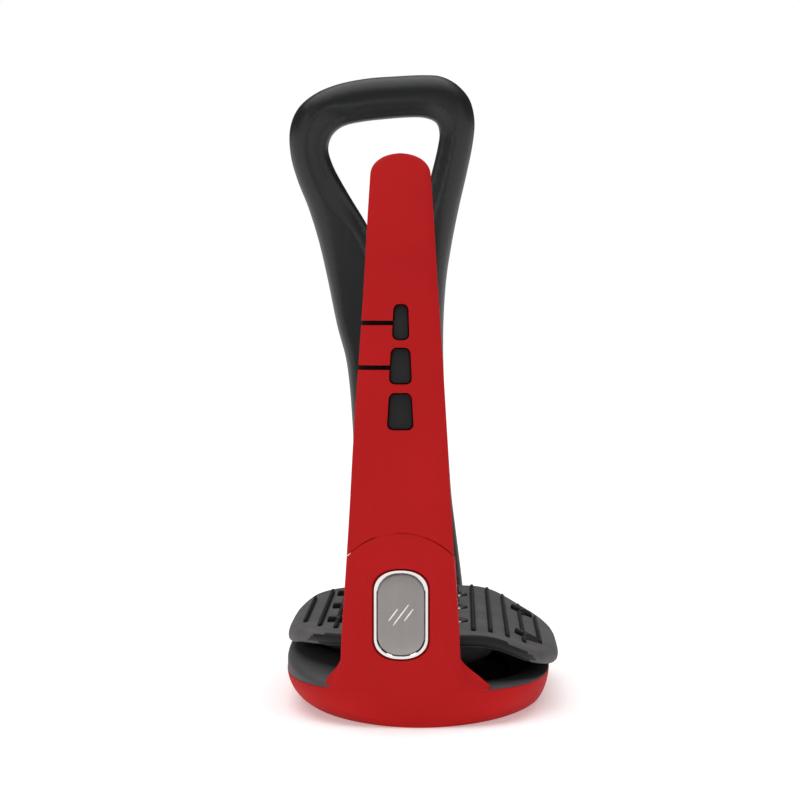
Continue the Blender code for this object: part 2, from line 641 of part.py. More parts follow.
def frame_screws():
    """Two long screws that tie the inner branch to the base."""
    made = []
    for x in FRAME_SCREWS_X:
        start = (x, FRAME_SCREW_TIP_Y, FRAME_SCREW_Z)
        seat = ARCH_BASE_Y + ARCH_DEPTH / 2 - FRAME_SCREW_SEAT
        under_head, top = (x, seat + GAP, FRAME_SCREW_Z), (x, seat + 0.0014, FRAME_SCREW_Z)
        made.append(screw(start, under_head, top, 0.0013, 0.0024))
    return numbered("frame_screw", made)


def tread_top(x):
    return between(TREAD_TOP, x)


def tread_pad():
    """The rubber pad: a rounded edge band that follows the droop, with pointed ribs across the foot."""
    rings = []
    for by, down in ((0.0012, 0.0), (0.0, 0.0012), (0.0002, 0.0027), (0.0011, 0.0035)):
        rings.append([(x, y, tread_top(x) - TREAD_EDGE + down) for x, y in superellipse(inset(TREAD, by), 44)])
    for by in (0.0018, 0.012):
        rings.append([(x, y, tread_top(x)) for x, y in superellipse(inset(TREAD, by), 44)])
    pad = loft("tread_pad", rings)
    bm = bmesh.new()
    bm.from_mesh(pad.data)
    for x in (-0.027, -0.0235, -0.018, 0.0185, 0.0225, 0.0255, 0.0295, 0.0345):
        bmesh.ops.bisect_plane(
            bm, geom=bm.verts[:] + bm.edges[:] + bm.faces[:], dist=1e-6, plane_co=(x, 0, 0), plane_no=(1, 0, 0)
        )
    for vert in bm.verts:
        part_x, part_y = abs(vert.co.x - TREAD[0]) / (TREAD[1] - 0.0015), abs(vert.co.y) / (TREAD[2] - 0.0015)
        inside = part_x ** TREAD[3] + part_y ** TREAD[3]
        if inside < 0.999 and vert.co.z > tread_top(vert.co.x) - 0.0012:
            vert.co.z = tread_top(vert.co.x)
        elif inside < 0.999:
            vert.co.z = tread_top(vert.co.x) - TREAD_EDGE
    bm.to_mesh(pad.data)
    bm.free()
    plate_space = loft("plate_space", [
        disc_ring(inset(TREAD_PLATE, -GAP), 0.010),
        disc_ring(inset(TREAD_PLATE, -GAP), TREAD_PLATE_Z + TREAD_PLATE_THICKNESS + GAP),
    ], CUTTERS_NAME)
    boolean(pad, plate_space, solver="MANIFOLD")
    for number in range(RIB_COUNT):
        boolean(pad, rib(RIB_FIRST_X + number * RIB_PITCH), "UNION", "MANIFOLD")
    for x, y in screw_places():
        top = tread_top(x)
        for radius, low in ((SCREW_HEAD_RADIUS + 0.0004, top - 0.0009), (0.0018, 0.01)):
            seat = cylinder("seat", radius, (x, y, low), (x, y, top + 0.01), CUTTERS_NAME)
            boolean(pad, seat, solver="MANIFOLD")
    for x, y in STUDS:
        top = tread_top(x)
        stem = cylinder("stem_seat", 0.0020, (x, y, top - 0.0012), (x, y, top + 0.01), CUTTERS_NAME, 12)
        boolean(pad, stem, solver="MANIFOLD")
        clear = cylinder("rib_break", STUD_HALF + GAP, (x, y, top - 0.0002), (x, y, top + 0.01), CUTTERS_NAME)
        boolean(pad, clear, solver="MANIFOLD")
    return pad


def rib_half_length(x):
    part = min(abs(x - TREAD[0]) / (TREAD[1] - 0.0033), 0.999)
    return (TREAD[2] - RIB_INSET) * (1 - part**RIB_OUTLINE_POWER) ** (1 / RIB_OUTLINE_POWER)


def rib(x):
    """One pointed rib along Y."""
    half = rib_half_length(x)
    low, high = tread_top(x) - 0.0008, tread_top(x) + RIB_HEIGHT
    rings = []
    for y in (-half, half):
        rings.append([
            (x - RIB_WIDTH / 2, y, low), (x + RIB_WIDTH / 2, y, low),
            (x + RIB_WIDTH * 0.36, y, high - 0.0003), (x, y, high), (x - RIB_WIDTH * 0.36, y, high - 0.0003),
        ])
    return loft("rib", rings, CUTTERS_NAME)


def screw_places():
    return [(x, y) for x in SCREW_COLUMNS_X for y in SCREW_ROWS_Y]


def tread_hardware():
    """Screws, cross studs and the plate that the screws pull the pad against."""
    screws = []
    for x, y in screw_places():
        top = tread_top(x)
        under_head, head_top = (x, y, top - 0.0006), (x, y, top + 0.0005)
        screws.append(screw((x, y, 0.0146), under_head, head_top, 0.0014, SCREW_HEAD_RADIUS))
    studs = []
    for x, y in STUDS:
        top = tread_top(x)
        low, high, half = top + GAP, top + 0.0016, 0.0006
        stud = box("stud", (x - STUD_HALF, y - half, low), (x + STUD_HALF, y + half, high))
        cross = box("cross", (x - half, y - STUD_HALF, low), (x + half, y + STUD_HALF, high), CUTTERS_NAME)
        boolean(stud, cross, "UNION")
        stem = cylinder("stem", 0.0015, (x, y, top - 0.0009), (x, y, top + 0.0012), CUTTERS_NAME, 12)
        boolean(stud, stem, "UNION")
        tilt = tread_slope(x)
        for vert in stud.data.vertices:
            vert.co.z += tilt * (vert.co.x - x) + max(abs(tilt) - 0.1, 0) * 0.0008
        studs.append(stud)
    plate = loft("tread_plate", [
        disc_ring(TREAD_PLATE, TREAD_PLATE_Z), disc_ring(TREAD_PLATE, TREAD_PLATE_Z + TREAD_PLATE_THICKNESS),
    ])
    for x, y in screw_places():
        boolean(plate, cylinder("hole", 0.0018, (x, y, 0.01), (x, y, 0.03), CUTTERS_NAME, 10))
    return [numbered("tread_screw", screws), numbered("grip_stud", studs), plate]


def tread_slope(x):
    return (tread_top(x + 0.001) - tread_top(x - 0.001)) / 0.002


def rocker_bowl():
    """The bowl under the tread, with a hollow for the cross joint and two lugs for the roll axle."""
    bowl = loft("rocker_bowl", [disc_ring(outline, z) for z, outline in BOWL_RINGS])
    top = loft("bowl_top", [disc_ring(BOWL_HEAD, 0.0152), disc_ring(BOWL_HEAD, BOWL_HEAD_Z)], CUTTERS_NAME)
    boolean(bowl, top, "UNION")
    x, z = PITCH_AXIS[0], ROLL_AXIS_Z
    room = box("joint_room", (x - 0.0066, -0.0105, 0.005), (x + 0.0066, 0.0105, 0.0150), CUTTERS_NAME)
    boolean(bowl, room)
    radius = AXLE_RADIUS + AXLE_CLEARANCE
    roll_bore = cylinder("bore", radius, (x - 0.0125, 0, z), (x + 0.0125, 0, z), CUTTERS_NAME)
    boolean(bowl, roll_bore)
    for sx, sy in screw_places():
        boolean(bowl, cylinder("hole", 0.0018, (sx, sy, 0.0142), (sx, sy, 0.03), CUTTERS_NAME, 10))
    return bowl


def cross_joint():
    """Block with two crossed bores, and the two axles."""
    x, z = PITCH_AXIS
    half_x, half_y = BLOCK_HALF
    low, high = (x - half_x, -half_y, z - 0.0026), (x + half_x, half_y, ROLL_AXIS_Z + 0.0026)
    block = box("trunnion_block", low, high)
    bevel(block, 0.0005, 1)
    settle(block)
    radius = AXLE_RADIUS + AXLE_CLEARANCE
    boolean(block, cylinder("bore", radius, (x, -0.01, z), (x, 0.01, z), CUTTERS_NAME))
    start, end = (x - 0.01, 0, ROLL_AXIS_Z), (x + 0.01, 0, ROLL_AXIS_Z)
    boolean(block, cylinder("bore", radius, start, end, CUTTERS_NAME))
    pitch = cylinder("pitch_axle", AXLE_RADIUS, (x, -0.0100, z), (x, 0.0100, z))
    roll = cylinder("roll_axle", AXLE_RADIUS, (x - 0.0120, 0, ROLL_AXIS_Z), (x + 0.0120, 0, ROLL_AXIS_Z))
    return [block, pitch, roll]


def retainers():
    """Spring clips on the ends of the pitch axle."""
    x, z = PITCH_AXIS
    rings = []
    for sign in (-1, 1):
        near, far = sign * (0.0085 + GAP), sign * 0.0094
        ring = cylinder("ring", 0.0026, (x, near, z), (x, far, z), PARTS_NAME, 16)
        boolean(ring, cylinder("hole", AXLE_RADIUS + GAP, (x, near * 0.9, z), (x, far * 1.1, z), CUTTERS_NAME))
        rings.append(ring)
    return numbered("axle_clip", rings)


def bump_stops():
    """Four rubber domes on the well's floor that stop the bowl's tilt."""
    stops = []
    for x in (-0.0100, 0.0150):
        for y in (-0.024, 0.024):
            low = WELL_FLOOR_Z + GAP
            stops.append(cylinder("stop", 0.0032, (x, y, low), (x, y, low + 0.0025), PARTS_NAME, 14, 0.0022))
    return numbered("bump_stop", stops)


def dress(objects, finish, angle=32):
    for obj in objects:
        obj.data.materials.clear()
        obj.data.materials.append(finish)
        obj.data.shade_smooth()
        obj.data.set_sharp_from_angle(angle=math.radians(angle))


def place_on(objects, name, location):
    """Hangs the objects of a moving body on an empty at its joint."""
    empty = bpy.data.objects.new(name, None)
    empty.location = location
    bpy.data.collections[PARTS_NAME].objects.link(empty)
    bpy.context.view_layer.update()
    for obj in objects:
        obj.parent = empty
        obj.matrix_parent_inverse = empty.matrix_world.inverted()
    return empty


def main():
    clear_scene()
    cover = base_cover()
    bezel, plate = badge()
    body = base_body()
    arch = frame_arch()
    branch_cover, core, blade = outer_branch()
    root, clamp, *blade_screws = blade_root_and_clamp()
    sole_plate, sole_screws = sole()
    arch_screws = frame_screws()
    pad = tread_pad()
    screws, studs, tread_plate = tread_hardware()
    bowl = rocker_bowl()
    block, pitch, roll = cross_joint()
    clips = retainers()
    stops = bump_stops()

    dress([cover, branch_cover], material("red_cover", RED, 0.45), 25)
    dress([body], material("deck_grey", DECK_GREY, 0.6))
    dress([arch, bowl, sole_plate], material("black_polyamide", BLACK, 0.45))
    dress([core, *stops], material("black_elastomer", BLACK, 0.7))
    dress([pad], material("grey_rubber", PAD_GREY, 0.75), 25)
    dress(studs, material("dark_steel", BLACK, 0.35, 1.0))
    dress([plate], material("brushed_plate", STEEL, 0.4, 1.0))
    dress([bezel, *screws], material("polished_steel", STEEL, 0.15, 1.0))
    hardware = [blade, root, clamp, *blade_screws, *sole_screws, *arch_screws]
    dress([*hardware, tread_plate, block, pitch, roll, *clips], material("steel", STEEL, 0.35, 1.0))

    x, z = PITCH_AXIS
    pitch_empty = place_on([block, roll], "trunnion_joint", (x, 0, z))
    tread_empty = place_on([pad, *screws, *studs, tread_plate, bowl], "tread_joint", (x, 0, ROLL_AXIS_Z))
    tread_empty.parent = pitch_empty
    tread_empty.matrix_parent_inverse = pitch_empty.matrix_world.inverted()
    place_on([branch_cover, core, blade], "branch_joint", (0, COLUMN_FRONT_Y, SEAM_SIDE_Z))


main()
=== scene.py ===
"""Dresses a left-hand riding safety stirrup over its CAD frame.

It adds the fine mouldings, the ribbed tread, the badge and every finish.

Sizes in the classes are millimetres; Shaper turns a finished mesh into metres in the frame's own axes.
+X is the heel side, -X the toe side, -Y the outer side, +Y the horse's side and +Z up.
"""

import json
import logging
import math
from collections.abc import Callable, Sequence
from dataclasses import dataclass, field
from enum import Enum

import bmesh
import bpy
import numpy as np
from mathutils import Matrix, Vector

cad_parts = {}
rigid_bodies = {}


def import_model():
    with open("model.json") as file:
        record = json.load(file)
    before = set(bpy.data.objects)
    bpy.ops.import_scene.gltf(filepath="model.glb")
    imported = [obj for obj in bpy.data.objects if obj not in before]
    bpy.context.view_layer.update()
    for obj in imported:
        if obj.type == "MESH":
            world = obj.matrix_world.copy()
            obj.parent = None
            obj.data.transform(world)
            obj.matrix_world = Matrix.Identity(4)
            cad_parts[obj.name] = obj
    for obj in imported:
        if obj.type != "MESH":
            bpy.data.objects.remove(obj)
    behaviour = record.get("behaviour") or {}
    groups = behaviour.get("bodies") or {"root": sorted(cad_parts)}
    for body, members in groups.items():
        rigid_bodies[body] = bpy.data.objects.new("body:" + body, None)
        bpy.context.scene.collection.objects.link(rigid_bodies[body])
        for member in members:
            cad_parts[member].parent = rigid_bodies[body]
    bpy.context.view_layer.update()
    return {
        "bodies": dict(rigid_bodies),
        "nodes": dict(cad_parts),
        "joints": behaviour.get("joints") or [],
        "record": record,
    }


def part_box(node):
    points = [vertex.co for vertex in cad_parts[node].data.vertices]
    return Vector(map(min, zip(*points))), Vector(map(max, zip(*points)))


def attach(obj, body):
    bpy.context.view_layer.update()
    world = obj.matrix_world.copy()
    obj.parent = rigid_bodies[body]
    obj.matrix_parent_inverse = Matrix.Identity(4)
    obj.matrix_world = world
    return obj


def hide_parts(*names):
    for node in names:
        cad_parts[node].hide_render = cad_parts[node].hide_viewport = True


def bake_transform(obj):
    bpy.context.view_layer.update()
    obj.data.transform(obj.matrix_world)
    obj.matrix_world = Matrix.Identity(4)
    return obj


LOG = logging.getLogger("riding_stirrup")
MM = 0.001
GAP = 0.3
RAMP_ENDS = (0.30, 0.70)
BUMP_STRENGTH = 0.6

Point2 = tuple[float, float]
Point3 = tuple[float, float, float]
Outline = tuple[float, float, float, float]


class Body(Enum):
    """The moving bodies of the stirrup."""

    BASE = "base"
    TREAD = "tread"
    BRANCH = "outer_branch"


class Slot(Enum):
    """The record's material slots that new pieces take their finish from."""

    RED = "red_cover"
    DECK = "deck_grey"
    POLYAMIDE = "black_polyamide"
    ELASTOMER = "black_elastomer"
    RUBBER = "grey_rubber"
    DARK_STEEL = "dark_steel"
    PLATE = "brushed_plate"
    POLISHED = "polished_steel"
    STEEL = "steel"


# ---------------------------------------------------------------- finishes


@dataclass(frozen=True)
class Finish:
    """A procedural finish on Object coordinates: mottled colour, uneven gloss, fine grain and any glow."""

    name: str
    colour: Point3
    roughness: float
    metallic: float = 0.0
    mottle: float = 0.10
    mottle_scale: float = 60.0
    gloss_spread: float = 0.06
    grain_scale: float = 2600.0
    grain_depth: float = 0.00002
    grain_stretch: Point3 = (1.0, 1.0, 1.0)
    specular: float = 0.5
    glow: float = 0.0

    def build(self) -> bpy.types.Material:
        """Makes the node tree.

        Returns:
            The material, ready for a slot.
        """
        made = bpy.data.materials.new(self.name)
        made.use_nodes = True
        nodes, links = made.node_tree.nodes, made.node_tree.links
        shader = nodes["Principled BSDF"]
        shader.inputs["Metallic"].default_value = self.metallic
        shader.inputs["Specular IOR Level"].default_value = self.specular
        shader.inputs["Emission Color"].default_value = (1.0, 1.0, 1.0, 1.0)
        shader.inputs["Emission Strength"].default_value = self.glow
        place = nodes.new("ShaderNodeTexCoord")
        stretch = nodes.new("ShaderNodeMapping")
        stretch.inputs["Scale"].default_value = self.grain_stretch
        links.new(place.outputs["Object"], stretch.inputs["Vector"])
        cloud = self._noise(nodes, self.mottle_scale, 3.0)
        links.new(place.outputs["Object"], cloud.inputs["Vector"])
        grain = self._noise(nodes, self.grain_scale, 2.0)
        links.new(stretch.outputs["Vector"], grain.inputs["Vector"])

        colours = nodes.new("ShaderNodeValToRGB")
        low, high = colours.color_ramp.elements
        low.position, high.position = RAMP_ENDS
        low.color = (*(c * (1 - self.mottle) for c in self.colour), 1.0)
        high.color = (*(min(c * (1 + self.mottle), 1.0) for c in self.colour), 1.0)
        links.new(cloud.outputs["Fac"], colours.inputs["Fac"])
        links.new(colours.outputs["Color"], shader.inputs["Base Color"])

        gloss = nodes.new("ShaderNodeMapRange")
        gloss.inputs["To Min"].default_value = max(self.roughness - self.gloss_spread, 0.02)
        gloss.inputs["To Max"].default_value = min(self.roughness + self.gloss_spread, 1.0)
        links.new(grain.outputs["Fac"], gloss.inputs["Value"])
        links.new(gloss.outputs["Result"], shader.inputs["Roughness"])

        bump = nodes.new("ShaderNodeBump")
        bump.inputs["Strength"].default_value = BUMP_STRENGTH
        bump.inputs["Distance"].default_value = self.grain_depth
        links.new(grain.outputs["Fac"], bump.inputs["Height"])
        links.new(bump.outputs["Normal"], shader.inputs["Normal"])
        return made

    @staticmethod
    def _noise(nodes: bpy.types.Nodes, scale: float, detail: float) -> bpy.types.Node:
        """A noise texture of that scale."""
        noise = nodes.new("ShaderNodeTexNoise")
        noise.inputs["Scale"].default_value = scale
        noise.inputs["Detail"].default_value = detail
        return noise


FINISHES: dict[Slot, Finish] = {
    Slot.RED: Finish(
        "red_soft_touch", (0.53, 0.0165, 0.0175), 0.58, mottle=0.04, mottle_scale=45, specular=0.02,
        grain_depth=0.000012,
    ),
    Slot.DECK: Finish("grey_cast_deck", (0.076, 0.075, 0.074), 0.62, grain_depth=0.00003, specular=0.25),
    Slot.POLYAMIDE: Finish(
        "black_moulded_polyamide", (0.0115, 0.0122, 0.0130), 0.42, mottle=0.14, grain_scale=1900,
        grain_depth=0.000035, specular=0.35,
    ),
    Slot.ELASTOMER: Finish("black_elastomer", (0.017, 0.018, 0.018), 0.68, specular=0.25),
    Slot.RUBBER: Finish(
        "grey_tread_rubber", (0.112, 0.107, 0.108), 0.70, mottle=0.16, mottle_scale=110, grain_scale=1500,
        grain_depth=0.00005, specular=0.25,
    ),
    Slot.DARK_STEEL: Finish("blackened_steel", (0.05, 0.05, 0.052), 0.34, metallic=1.0, mottle=0.2),
    Slot.PLATE: Finish(
        "brushed_badge_plate", (0.34, 0.315, 0.305), 0.40, metallic=1.0, mottle=0.05, grain_scale=900,
        grain_stretch=(1.0, 1.0, 0.05), grain_depth=0.00001, gloss_spread=0.10,
    ),
    Slot.POLISHED: Finish(
        "polished_steel", (0.72, 0.70, 0.69), 0.13, metallic=1.0, mottle=0.03, grain_depth=0.000004,
        gloss_spread=0.04,
    ),
    Slot.STEEL: Finish(
        "satin_steel", (0.50, 0.49, 0.48), 0.36, metallic=1.0, mottle=0.08, grain_depth=0.00001
    ),
}
# Painted light: the bowl's black polyamide made a lighter grey so that it looks lit under the tread.
BOWL_PAINTED_LIGHT_FINISH = Finish("painted_light_satin_bowl", (0.12, 0.118, 0.118), 0.50, grain_depth=0.00003, specular=0.3)
# Painted shade: a near-black finish for the well and the heel hollow under the tread, which stand in deep
# shadow.
WELL_PAINTED_SHADE_FINISH = Finish("painted_shade_well", (0.0035, 0.0036, 0.0036), 0.70, specular=0.1)
# The ribs' own black rubber, also used as painted shade on the pad's faces that face front or back.
RIB_AND_PAINTED_SHADE_FINISH = Finish(
    "black_rib_rubber_and_painted_shade", (0.014, 0.015, 0.015), 0.52, grain_scale=1500, grain_depth=0.00003, specular=0.25
)
FLOOR_FINISH = Finish(
    "pale_floor", (0.90, 0.90, 0.90), 0.9, mottle=0.004, grain_depth=0.00001, specular=0.1, glow=0.33
)


class Paintbox:
    """Builds each finish once and hands it out."""

    def __init__(self) -> None:
        """Starts with no material made."""
        self._made: dict[str, bpy.types.Material] = {}

    def get(self, finish: Finish) -> bpy.types.Material:
        """The material of a finish, made on first use."""
        if finish.name not in self._made:
            self._made[finish.name] = finish.build()
        return self._made[finish.name]


# ---------------------------------------------------------------- curves and outlines


def smooth_step(low: float, high: float, at: float) -> float:
    """0 below low, 1 above high and a smooth rise between."""
    t = min(max((at - low) / (high - low), 0.0), 1.0)
    return t * t * (3 - 2 * t)


def mix(a: float, b: float, share: float) -> float:
    """The value that lies share of the way from a to b."""
    return a + (b - a) * share


def between(table: Sequence[Point2], at: float) -> float:
    """Reads a smooth curve through a table.

    Args:
        table: Pairs of place and value, in rising order of place.
        at: The place to read.

    Returns:
        The value there, held constant beyond both ends.
    """
    last = len(table) - 1
    if at <= table[0][0]:
        return table[0][1]
    if at >= table[last][0]:
        return table[last][1]
    i = max(k for k in range(last) if table[k][0] <= at)
    slopes = []
    for k in (i, i + 1):
        a, b = table[max(k - 1, 0)], table[min(k + 1, last)]
        slopes.append((b[1] - a[1]) / (b[0] - a[0]))
    span = table[i + 1][0] - table[i][0]
    t = (at - table[i][0]) / span
    p, q = table[i][1], table[i + 1][1]
    rise = (t**3 - 2 * t**2 + t) * span * slopes[0] + (t**3 - t**2) * span * slopes[1]
    return (2 * t**3 - 3 * t**2 + 1) * p + (3 * t**2 - 2 * t**3) * q + rise


def superellipse_point(outline: Outline, angle: float) -> Point2:
    """One point of a superellipse given as centre X, half length X, half width Y and power."""
    centre, half_x, half_y, power = outline
    c, s = math.cos(angle), math.sin(angle)
    x = centre + half_x * math.copysign(abs(c) ** (2 / power), c)
    return x, half_y * math.copysign(abs(s) ** (2 / power), s)


def superellipse(outline: Outline, count: int) -> list[Point2]:
    """Evenly stepped points of a superellipse."""
    return [superellipse_point(outline, math.tau * step / count) for step in range(count)]


def inset(outline: Outline, by: float) -> Outline:
    """The same superellipse drawn in by a distance."""
    centre, half_x, half_y, power = outline
    return centre, half_x - by, half_y - by, power


def rounded_path(corners: Sequence[Point2], radius: float, steps: int, straight: int) -> list[Point2]:
    """A polyline whose inner corners are rounded, with the same count of points for any corner places.

    Args:
        corners: The polyline's points.
        radius: How far from a corner the rounding starts.
        steps: Pieces in each rounding.
        straight: Pieces in each straight stretch.

    Returns:
        The points from the first corner to the last.
    """
    found: list[Point2] = []
    start = Vector(corners[0])
    for before, corner, after in zip(corners, corners[1:], corners[2:]):
        at, back, on = Vector(corner), Vector(before), Vector(after)
        reach_in = min(radius, (at - back).length * 0.45)
        reach_out = min(radius, (on - at).length * 0.45)
        enter = at + (back - at).normalized() * reach_in
        leave = at + (on - at).normalized() * reach_out
        found += [tuple(start.lerp(enter, k / straight)) for k in range(straight)]
        for k in range(steps):
            t = k / steps
            found.append(tuple(enter.lerp(at, t).lerp(at.lerp(leave, t), t)))
        start = leave
    found += [tuple(start.lerp(Vector(corners[-1]), k / straight)) for k in range(straight + 1)]
    return found


def closed_spline(points: Sequence[Point2], per_span: int) -> list[Point2]:
    """A closed smooth curve through points, with per_span steps between neighbours."""
    count, found = len(points), []
    for i in range(count):
        p0, p1, p2, p3 = (Vector(points[(i + k - 1) % count]) for k in range(4))
        chord = (p2 - p1).length
        into = (p2 - p0) * (chord / max((p2 - p1).length + (p1 - p0).length, 1e-6))
        out = (p3 - p1) * (chord / max((p3 - p2).length + (p2 - p1).length, 1e-6))
        for k in range(per_span):
            t = k / per_span
            at = (2 * t**3 - 3 * t**2 + 1) * p1 + (t**3 - 2 * t**2 + t) * into
            found.append(tuple(at + (3 * t**2 - 2 * t**3) * p2 + (t**3 - t**2) * out))
    return found


# ---------------------------------------------------------------- mesh work


class Shaper:
    """One bmesh in millimetres, shaped by operators and finished into an object in metres."""

    def __init__(self) -> None:
        """Starts with an empty mesh."""
        self.bm = bmesh.new()

    def first_ring(self, points: Sequence[Point3]) -> list[bmesh.types.BMVert]:
        """Lays the first row of points and its edges, as a closed ring."""
        row = [self.bm.verts.new(point) for point in points]
        for a, b in zip(row, row[1:] + row[:1]):
            self.bm.edges.new((a, b))
        return row

    def next_ring(self, row: list[bmesh.types.BMVert], points: Sequence[Point3]) -> list[bmesh.types.BMVert]:
        """Extrudes a row's edges and moves the new row to its own points.

        Args:
            row: The row's vertices in order.
            points: Where the new row goes, one point for each vertex.

        Returns:
            The new row's vertices in the same order.
        """
        members = set(row)
        edges = dict.fromkeys(
            e for v in row for e in v.link_edges if e.other_vert(v) in members and len(e.link_faces) < 2
        )
        made = bmesh.ops.extrude_edge_only(self.bm, edges=list(edges))["geom"]
        fresh = {item for item in made if isinstance(item, bmesh.types.BMVert)}
        new_row = []
        for vert, point in zip(row, points):
            twin = next(e.other_vert(vert) for e in vert.link_edges if e.other_vert(vert) in fresh)
            twin.co = point
            new_row.append(twin)
        return new_row

    def loft(self, rows: Sequence[Sequence[Point3]]) -> "Shaper":
        """Draws a closed skin through rings of equal count, with a cap on each end."""
        first = row = self.first_ring(rows[0])
        for points in rows[1:]:
            row = self.next_ring(row, points)
        for end in (first, row):
            self.bm.faces.new(end)
        return self

    def box(self, low: Point3, high: Point3) -> "Shaper":
        """Adds a box between two corners."""
        made = bmesh.ops.create_cube(self.bm, size=1.0)["verts"]
        for vert in made:
            vert.co = [mix(a, b, c + 0.5) for a, b, c in zip(low, high, vert.co)]
        return self

    def prism(self, outline: Sequence[Point2], low: float, high: float) -> "Shaper":
        """Adds an upright outline in X and Z with thickness from Y low to Y high."""
        return self.loft([[(x, y, z) for x, z in outline] for y in (low, high)])

    def round_edges(self, width: float, segments: int = 3, angle: float = 35.0) -> "Shaper":
        """Bevels every edge sharper than an angle in degrees."""
        bmesh.ops.recalc_face_normals(self.bm, faces=self.bm.faces)
        sharp = [e for e in self.bm.edges if e.is_manifold and e.calc_face_angle(0.0) > math.radians(angle)]
        bmesh.ops.bevel(
            self.bm, geom=sharp, offset=width, segments=segments, affect="EDGES", profile=0.5, material=-1,
            clamp_overlap=True,
        )
        return self

    def move(self, place: Callable[[Vector], Sequence[float]]) -> "Shaper":
        """Moves each vertex to place(vertex)."""
        for vert in self.bm.verts:
            vert.co = place(vert.co)
        return self

    def finish(self, name: str, sharp: float = 38.0, turn_out: bool = True) -> bpy.types.Object:
        """Makes the object, at the origin, with its place in its mesh.

        Args:
            name: The piece's name.
            sharp: Edges sharper than this angle in degrees stay crisp in shading.
            turn_out: Whether to turn the faces outwards first.

        Returns:
            The new object.
        """
        bmesh.ops.remove_doubles(self.bm, verts=self.bm.verts, dist=0.0005)
        if turn_out:
            bmesh.ops.recalc_face_normals(self.bm, faces=self.bm.faces)
        bmesh.ops.scale(self.bm, vec=(MM, MM, MM), verts=self.bm.verts)
        mesh = bpy.data.meshes.new(name)
        self.bm.to_mesh(mesh)
        self.bm.free()
        obj = bpy.data.objects.new(name, mesh)
        bpy.context.scene.collection.objects.link(obj)
        soften(obj, sharp)
        return obj


def soften(obj: bpy.types.Object, sharp: float) -> None:
    """Shades an object smooth but for edges sharper than an angle in degrees."""
    obj.data.shade_smooth()
    obj.data.set_sharp_from_angle(angle=math.radians(sharp))


def settle(obj: bpy.types.Object) -> None:
    """Applies an object's modifiers to its mesh."""
    bpy.context.view_layer.update()
    graph = bpy.context.evaluated_depsgraph_get()
    mesh = bpy.data.meshes.new_from_object(obj.evaluated_get(graph))
    obj.modifiers.clear()
    old, obj.data = obj.data, mesh
    bpy.data.meshes.remove(old)
    mesh.name = obj.name


def cut(obj: bpy.types.Object, cutter: bpy.types.Object) -> None:
    """Cuts an object with another, which is then removed."""
    modifier = obj.modifiers.new("Cut", "BOOLEAN")
    modifier.object = cutter
    modifier.operation = "DIFFERENCE"
    modifier.solver = "EXACT"
    settle(obj)
    bpy.data.objects.remove(cutter)


def solidify(obj: bpy.types.Object, thickness: float) -> None:
    """Gives an open skin a wall, inwards, of a thickness in millimetres."""
    modifier = obj.modifiers.new("Wall", "SOLIDIFY")
    modifier.thickness = thickness * MM
    modifier.offset = -1.0
    modifier.use_even_offset = False
    settle(obj)


def round_rims(obj: bpy.types.Object, width: float, segments: int = 2, angle: float = 50.0) -> None:
    """Rounds an object's sharp edges by a width in millimetres."""
    modifier = obj.modifiers.new("Round", "BEVEL")
    modifier.width = width * MM
    modifier.segments = segments
    modifier.limit_method = "ANGLE"
    modifier.angle_limit = math.radians(angle)
    modifier.use_clamp_overlap = True
    settle(obj)


def node_box(node: str) -> tuple[Vector, Vector]:
    """A CAD node's lowest and highest corner, in millimetres."""
    low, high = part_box(node)
    return Vector(low) / MM, Vector(high) / MM


class Bench:
    """Dresses finished pieces and fastens them to their bodies."""

    def __init__(self) -> None:
        """Starts with an empty paintbox."""
        self.paints = Paintbox()
        self.replaced: set[str] = set()

    def mount(
        self,
        piece: bpy.types.Object,
        body: Body,
        slot: Slot,
        nodes: Sequence[str] = (),
        finish: Finish | None = None,
        bend: tuple[float, float] | None = None,
    ) -> bpy.types.Object:
        """Gives a piece its finish, its body unless bend is given, and the CAD nodes it stands for.

        Args:
            piece: The finished object.
            body: The body it moves with.
            slot: The record's slot it takes its finish from.
            nodes: The CAD nodes it replaces.
            finish: A finish of its own, in place of the slot's.
            bend: Heights in millimetres that are not used; when it is given, the piece is not fastened to its
                body but has its place baked into its mesh.

        Returns:
            The same piece.
        """
        piece.data.materials.clear()
        piece.data.materials.append(self.paints.get(finish or FINISHES[slot]))
        if bend is None:
            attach(piece, body.value)
        else:
            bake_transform(piece)
        if nodes:
            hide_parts(*nodes)
            self.replaced.update(nodes)
        LOG.info("%s: %d vertices on %s", piece.name, len(piece.data.vertices), body.value)
        return piece

    def dress_frame(self, frame: dict) -> None:
        """Gives every CAD node that still shows the finish of its slot."""
        slots = {part["node"]: part["material_slot"] for part in frame["record"]["subparts"]}
        for name, obj in frame["nodes"].items():
            if name not in self.replaced:
                for material_slot in obj.material_slots:
                    material_slot.material = self.paints.get(FINISHES[Slot(slots[name])])


# ---------------------------------------------------------------- base


